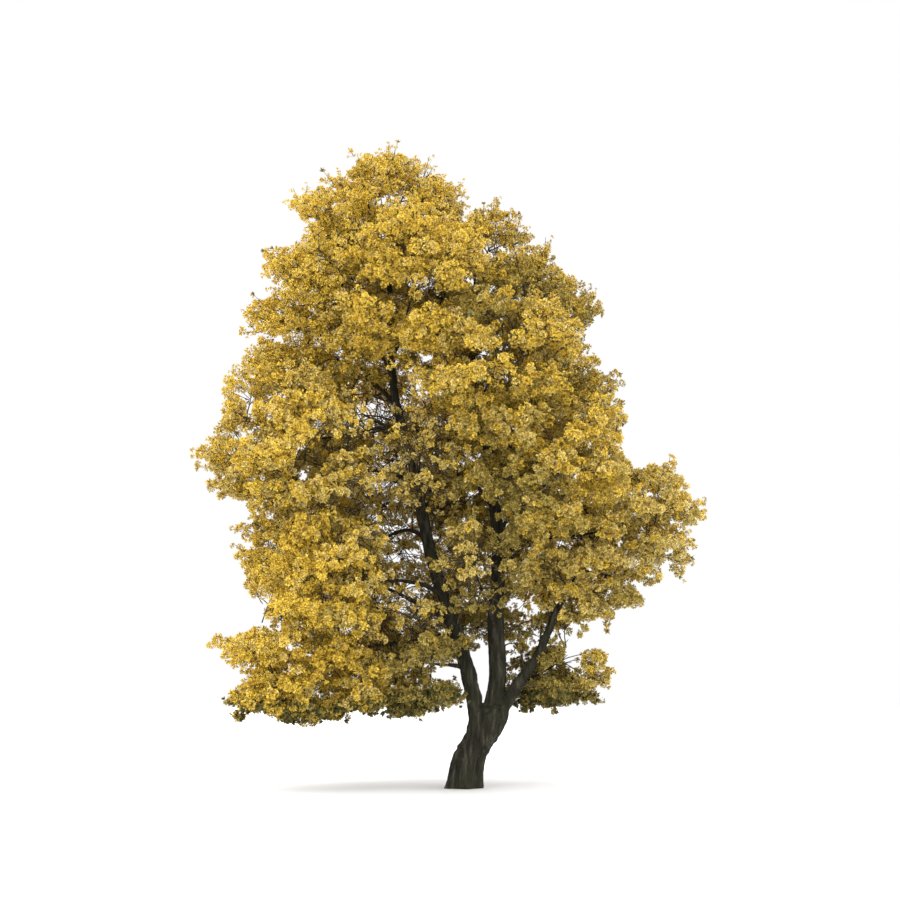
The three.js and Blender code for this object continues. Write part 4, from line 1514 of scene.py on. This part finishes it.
def low_inside(points):
    """How far points are in the painted shade round the leaders, low in the crown, from 0 to 1."""
    across, forward = points[:, 0] - LOW_INSIDE["across"], LOW_INSIDE["forward"] * points[:, 1]
    aside = np.hypot(across, forward) / LOW_INSIDE["wide"]
    below = np.clip((LOW_INSIDE["top"] - points[:, 2]) / LOW_INSIDE["deep"], 0, 1)
    return np.clip(LOW_INSIDE["fade"] * (1 - aside), 0, 1) * below


# How much painted shade each spray gets low round the leaders.
spray_shade = low_inside(spray_heads)
sprays_seen = seen_at_trunk(spray_heads)
# Tone from the ovals, partly painted light and shade.
spot_tone_and_painted_light = sum(spot["tone"] * np.clip(SPOT_FADE - SPOT_FADE * share_of(spot, sprays_seen), 0, 1)
                for spot in SPOTS_OF_TONE_AND_PAINTED_LIGHT)
spray_score, spray_cool = np.empty(len(sprays)), np.empty(len(sprays))
for number, spray in enumerate(sprays):
    mass = spray["mass"]
    facing = (spray["head"] - mass_centres[mass]) / mass_reaches[mass] @ SUNNY_SIDE
    outer = out_in_crown(spray["head"])
    # Painted light and shade: brighter further out and facing the sun.
    score = PAINTED_LIGHT_SCORE["least"] + PAINTED_LIGHT_SCORE["outer"] * outer + PAINTED_LIGHT_SCORE["facing"] * facing
    # Tones, the window's painted light, the spots and the low painted shade move the score.
    score = score + MASS_TONE_AND_PAINTED_LIGHT.get(mass_names[mass], 0) + WINDOW_PAINTED_LIGHT * in_window[number]
    score += spot_tone_and_painted_light[number] + LOW_INSIDE["tone"] * spray_shade[number]
    spray_score[number] = score + rng.normal(0, PAINTED_LIGHT_SCORE["uneven"])
    cool = COOL.get(mass_names[mass], COOL_ELSEWHERE)
    # The window, the low shade and the inside of the crown raise coolness, as painted light and shade.
    cool = max(cool, in_window[number], spray_shade[number], INSIDE_PAINTED_SHADE_COOL * (1 - outer))
    spray_cool[number] = cool * rng.uniform(*COOL_UNEVEN)
print("mean score:", round(spray_score.mean(), 2), "mean coolness:", round(spray_cool.mean(), 2))

# %% [markdown]
# ## Setting the heads
# A head takes its spray's score and coolness, with a little chance of its own, and painted shade on a head
# slips it down the row to a darker tint. All heads of one tint are joined into one piece, so the whole
# blossom is a few plain meshes of one material each.

# %% Set the heads
HEAD_SIZE = dict(low=1.0, high=0.66, uneven=(0.8, 1.2))
SMALL_FROM = dict(height=5.5, mixed=0.6)
# How far one unit of painted shade steps a head's tint down the row.
PAINTED_SHADE_STEP = 0.14
STEP_UNEVEN = 0.12

head_size = np.interp(heads[:, 2], LOW_TO_HIGH, [HEAD_SIZE["low"], HEAD_SIZE["high"]])
head_size = head_size * head_scale * rng.uniform(*HEAD_SIZE["uneven"], len(heads))
head_size = head_size * (1 - WINDOW_SMALLER * in_window[head_spray])
head_size = head_size * (1 - LOW_INSIDE["smaller"] * spray_shade[head_spray])
head_spin = rng.uniform(0, 2 * math.pi, len(heads))
small = heads[:, 2] + rng.normal(0, SMALL_FROM["mixed"], len(heads)) > SMALL_FROM["height"]
head_shape = rng.integers(0, HEAD_SHAPES, len(heads)) + HEAD_SHAPES * small
# Painted shade steps a head's tint down the row.
head_score = spray_score[head_spray] - PAINTED_SHADE_STEP * head_painted_shade + rng.normal(0, STEP_UNEVEN, len(heads))
head_step = np.clip(head_score * len(WARM_TINTS), 0, len(WARM_TINTS) - 1).astype(int)
head_cool = rng.uniform(0, 1, len(heads)) < spray_cool[head_spray]
head_tint = np.where(head_cool, np.array(COOL_TINTS)[head_step], np.array(WARM_TINTS)[head_step])
petal_pieces = []
for name, material in petal_materials.items():
    part = np.flatnonzero(head_tint == name)
    piece = set_shapes("petals_" + name, heads[part], outwards[part], head_spin[part], head_size[part],
                       head_shape[part], head_templates, material)
    petal_pieces.append(piece)
    print(piece.name, len(piece.data.polygons))
print("petals in all:", sum(len(piece.data.polygons) for piece in petal_pieces))

# %% [markdown]
# ## Leaves
# In bloom the tree has few leaves: pale grey-green or bronze young tufts at some tips, and darker ones in
# the shade under the lowest boughs. A leaf is a kite folded along its middle, and five of them make a tuft.

# %% Leaf tufts
LEAF = dict(length=0.07, wide=0.019, fold=0.007, leaves=5, widest=0.45, seed=200, turn=0.05,
            slope=(0.35, 1.0), uneven=(0.75, 1.15))
LEAF_TINTS = {"young": (0.27, 0.26, 0.11), "bronze": (0.34, 0.24, 0.10), "shade": (0.125, 0.118, 0.036)}
LEAF_SHAPES = 4
LEAF_SPIN = 6.28
LEAF_SIZE = (0.8, 1.25)


def leaf_tuft(shape):
    """A tuft of leaves that spread round +Z: points, faces and each point's tip."""
    draw = np.random.default_rng(LEAF["seed"] + shape)
    points, faces, tips = [], [], []
    for leaf in range(LEAF["leaves"]):
        turn = 2 * math.pi * (leaf * GOLDEN_TURN + draw.uniform(-LEAF["turn"], LEAF["turn"]))
        slope = draw.uniform(*LEAF["slope"])
        level = math.sin(slope)
        along = np.array([math.cos(turn) * level, math.sin(turn) * level, math.cos(slope)])
        side = unit(np.cross([0, 0, 1], along))
        up = np.cross(along, side)
        length = LEAF["length"] * draw.uniform(*LEAF["uneven"])
        base = len(points)
        middle = along * length * LEAF["widest"] + up * LEAF["fold"]
        points += [np.zeros(3), middle + side * LEAF["wide"], along * length, middle - side * LEAF["wide"]]
        faces += [(base, base + 1, base + 2), (base, base + 2, base + 3)]
        tips += [0, 1, 1, 1]
    return np.array(points), np.array(faces), tips


leaf_templates = template_collection("leaf_tuft", [leaf_tuft(shape) for shape in range(LEAF_SHAPES)])
leaf_pieces = []
for kind, (name, colour) in enumerate(LEAF_TINTS.items()):
    chosen = np.flatnonzero(leaf_kind == kind)
    spin = rng.uniform(0, LEAF_SPIN, len(chosen))
    size = rng.uniform(*LEAF_SIZE, len(chosen))
    shape = rng.integers(0, LEAF_SHAPES, len(chosen))
    piece = set_shapes("leaves_" + name, leaf_places[chosen], unit(leaf_outwards[chosen]), spin, size, shape,
                       leaf_templates, petal_material("leaf_" + name, colour))
    leaf_pieces.append(piece)
    print(piece.name, len(piece.data.polygons))

# %% [markdown]
# ## Bark
# The bark is grey-brown, darker in the furrows, with paler ridges and a trace of green. Three noises make
# it: a wide one for patches, one stretched along the limb for streaks and a fine one for grain. They sit in
# a node group, so that the trunk, the boughs and the twigs can share them at different scales.

# %% A node group for bark
ALONG_LIMB = 0.16
BARK_NOISE = dict(detail=6, roughness=0.65)


def bark_group():
    """Patches, streaks and grain, each at its own scale."""
    group = bpy.data.node_groups.new("bark_pattern", "ShaderNodeTree")
    for label, value in (("Patch Scale", 1.6), ("Streak Scale", 14.0), ("Grain Scale", 90.0)):
        socket = group.interface.new_socket(label, in_out="INPUT", socket_type="NodeSocketFloat")
        socket.default_value = value
    for label in ("Patches", "Streaks", "Grain"):
        group.interface.new_socket(label, in_out="OUTPUT", socket_type="NodeSocketFloat")
    nodes, links = group.nodes, group.links
    given, made = nodes.new("NodeGroupInput"), nodes.new("NodeGroupOutput")
    place = nodes.new("ShaderNodeTexCoord")
    stretch = nodes.new("ShaderNodeMapping")
    stretch.inputs["Scale"].default_value = (1, 1, ALONG_LIMB)
    links.new(place.outputs["Object"], stretch.inputs["Vector"])
    plain, stretched = place.outputs["Object"], stretch.outputs["Vector"]
    for scale, target, source in (("Patch Scale", "Patches", plain), ("Streak Scale", "Streaks", stretched),
                                  ("Grain Scale", "Grain", stretched)):
        texture = nodes.new("ShaderNodeTexNoise")
        texture.inputs["Detail"].default_value = BARK_NOISE["detail"]
        texture.inputs["Roughness"].default_value = BARK_NOISE["roughness"]
        links.new(source, texture.inputs["Vector"])
        links.new(given.outputs[scale], texture.inputs["Scale"])
        links.new(texture.outputs["Fac"], made.inputs[target])
    return group


bark_pattern = bark_group()

# %% [markdown]
# ## Bark materials
# A colour ramp turns the streaks into dark furrows and pale ridges, and the patches lay a thin green over
# them. Bump from streaks and grain adds what is too fine for the mesh. The trunk is darkest, and the twigs
# are browner and paler.

# %% Bark materials
BARK = dict(roughness=0.9, specular=0.2, moss=0.6, depth=0.01)
STREAK_STOPS = (0.34, 0.5, 0.68)
PATCH_STOPS = (0.42, 0.66)
BARKS = {
    "trunk_bark": dict(dark=(0.006, 0.005, 0.003), middle=(0.021, 0.019, 0.012), pale=(0.075, 0.069, 0.049),
                       moss=(0.026, 0.027, 0.013), scales=(2.2, 16.0, 120.0), bump=0.8),
    "bough_bark": dict(dark=(0.008, 0.006, 0.004), middle=(0.024, 0.019, 0.012), pale=(0.055, 0.047, 0.032),
                       moss=(0.027, 0.025, 0.013), scales=(3.0, 26.0, 160.0), bump=0.5),
    "twig_bark": dict(dark=(0.034, 0.025, 0.012), middle=(0.077, 0.055, 0.027), pale=(0.128, 0.096, 0.050),
                      moss=(0.072, 0.060, 0.027), scales=(2.0, 20.0, 120.0), bump=0.2),
}


def ramp(nodes, stops):
    """A colour ramp with the given places and colours."""
    stops = list(stops)
    node = nodes.new("ShaderNodeValToRGB")
    while len(node.color_ramp.elements) < len(stops):
        node.color_ramp.elements.new(0.5)
    for element, (place, colour) in zip(node.color_ramp.elements, stops):
        element.position = place
        element.color = (*colour, 1)
    return node


def bark_material(name, dark, middle, pale, moss, scales, bump):
    """A bark of its own colours and scales with the shared pattern."""
    material = bpy.data.materials.new(name)
    material.use_nodes = True
    nodes, links = material.node_tree.nodes, material.node_tree.links
    shader = nodes["Principled BSDF"]
    shader.inputs["Roughness"].default_value = BARK["roughness"]
    shader.inputs["Specular IOR Level"].default_value = BARK["specular"]
    pattern = nodes.new("ShaderNodeGroup")
    pattern.node_tree = bark_pattern
    for label, value in zip(("Patch Scale", "Streak Scale", "Grain Scale"), scales):
        pattern.inputs[label].default_value = value
    streaks = ramp(nodes, zip(STREAK_STOPS, (dark, middle, pale)))
    patches = ramp(nodes, zip(PATCH_STOPS, ((0, 0, 0), (1, 1, 1))))
    mix = nodes.new("ShaderNodeMix")
    mix.data_type = "RGBA"
    mix.inputs[7].default_value = (*moss, 1)
    soften = nodes.new("ShaderNodeMath")
    soften.operation = "MULTIPLY"
    soften.inputs[1].default_value = BARK["moss"]
    height = nodes.new("ShaderNodeMath")
    height.operation = "ADD"
    relief = nodes.new("ShaderNodeBump")
    relief.inputs["Strength"].default_value = bump
    relief.inputs["Distance"].default_value = BARK["depth"]
    links.new(pattern.outputs["Streaks"], streaks.inputs["Fac"])
    links.new(pattern.outputs["Patches"], patches.inputs["Fac"])
    links.new(patches.outputs["Color"], soften.inputs[0])
    links.new(soften.outputs["Value"], mix.inputs[0])
    links.new(streaks.outputs["Color"], mix.inputs[6])
    links.new(mix.outputs[2], shader.inputs["Base Color"])
    links.new(pattern.outputs["Streaks"], height.inputs[0])
    links.new(pattern.outputs["Grain"], height.inputs[1])
    links.new(height.outputs["Value"], relief.inputs["Height"])
    links.new(relief.outputs["Normal"], shader.inputs["Normal"])
    return material


wearers = {"trunk_bark": [trunk_piece], "bough_bark": [bough_piece], "twig_bark": [twig_piece, stalk_piece]}
for name, facts in BARKS.items():
    material = bark_material(name, **facts)
    for piece in wearers[name]:
        piece.data.materials.append(material)
print("barks:", ", ".join(BARKS))

# %% [markdown]
# ## Ride and replace
# Every piece is parented to the body it rides on, and the plain solids it stands for are hidden. The tree
# has no joints, so there is one body, the root. The trunk's skin stands for the trunk and leaders, the
# boughs for the boughs, and the blossom for the masses.

# %% Tell the frame
bark_pieces = [trunk_piece, bough_piece, twig_piece, stalk_piece]
blossom_pieces = petal_pieces + leaf_pieces
for piece in bark_pieces + blossom_pieces:
    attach(piece, "root")
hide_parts("trunk", *LEADERS)
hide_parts(*[limb["name"] for limb in boughs])
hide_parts(*["blossom_" + name for name in mass_names])
print("pieces:", len(bark_pieces) + len(blossom_pieces))

# %% [markdown]
# ## Floor, light and camera
# The tree stands on a plain pale floor under soft light: a white sky all round, a broad sun from the upper
# left and in front, and a broader one from nearly overhead. The sky lights the tree more strongly than the
# camera sees it, so the background stays plain white. The camera stands a good way off at eye height, as a
# person would to take in the tree.

# %% Floor
FLOOR = dict(radius=60.0, sides=96, up=-0.002, pale=(0.8, 0.8, 0.8, 1), roughness=0.9)

bpy.ops.mesh.primitive_circle_add(vertices=FLOOR["sides"], radius=FLOOR["radius"], fill_type="NGON",
                                  location=(0, 0, FLOOR["up"]))
floor = bpy.context.object
floor.name = "floor"
floor_white = bpy.data.materials.new("floor_white")
floor_white.use_nodes = True
floor_shader = floor_white.node_tree.nodes["Principled BSDF"]
floor_shader.inputs["Base Color"].default_value = FLOOR["pale"]
floor_shader.inputs["Roughness"].default_value = FLOOR["roughness"]
floor.data.materials.append(floor_white)

# %% Light
FRONT = dict(strength=0.62, degrees=50)
TOP = dict(strength=0.7, degrees=70)
TOP_SIDE = unit(np.array([-0.12, -0.1, 1.0]))
SKY_STRENGTH = 1.9
SEEN_STRENGTH = 1.0


def soft_sun(name, strength, towards, degrees):
    """A broad sun that shines from a direction."""
    data = bpy.data.lights.new(name, "SUN")
    data.energy = strength
    data.angle = math.radians(degrees)
    lamp = bpy.data.objects.new(name, data)
    lamp.rotation_euler = Vector(-towards).to_track_quat("-Z", "Y").to_euler()
    bpy.context.collection.objects.link(lamp)


soft_sun("front_light", FRONT["strength"], SUNNY_SIDE, FRONT["degrees"])
soft_sun("top_light", TOP["strength"], TOP_SIDE, TOP["degrees"])

world = bpy.data.worlds.new("white_sky")
world.use_nodes = True
bpy.context.scene.world = world
sky_nodes, sky_links = world.node_tree.nodes, world.node_tree.links
sky_nodes["Background"].inputs["Color"].default_value = (1, 1, 1, 1)
sky_nodes["Background"].inputs["Strength"].default_value = SKY_STRENGTH
seen = sky_nodes.new("ShaderNodeBackground")
seen.inputs["Color"].default_value = (1, 1, 1, 1)
seen.inputs["Strength"].default_value = SEEN_STRENGTH
path = sky_nodes.new("ShaderNodeLightPath")
choose = sky_nodes.new("ShaderNodeMixShader")
sky_links.new(path.outputs["Is Camera Ray"], choose.inputs[0])
sky_links.new(sky_nodes["Background"].outputs["Background"], choose.inputs[1])
sky_links.new(seen.outputs["Background"], choose.inputs[2])
sky_links.new(choose.outputs["Shader"], sky_nodes["World Output"].inputs["Surface"])
bpy.context.scene.view_settings.view_transform = "Standard"

# %% Camera
LOOK_AT = Vector((-0.195, 0.0, 5.05))
LENS = 69.0
SENSOR = 36.0
SEES_TO = 200.0

camera_data = bpy.data.cameras.new("camera")
camera_data.lens = LENS
camera_data.sensor_width = SENSOR
camera_data.clip_end = SEES_TO
camera = bpy.data.objects.new("camera", camera_data)
camera.location = CAMERA_AT
camera.rotation_euler = (LOOK_AT - CAMERA_AT).to_track_quat("-Z", "Y").to_euler()
bpy.context.collection.objects.link(camera)
bpy.context.scene.camera = camera
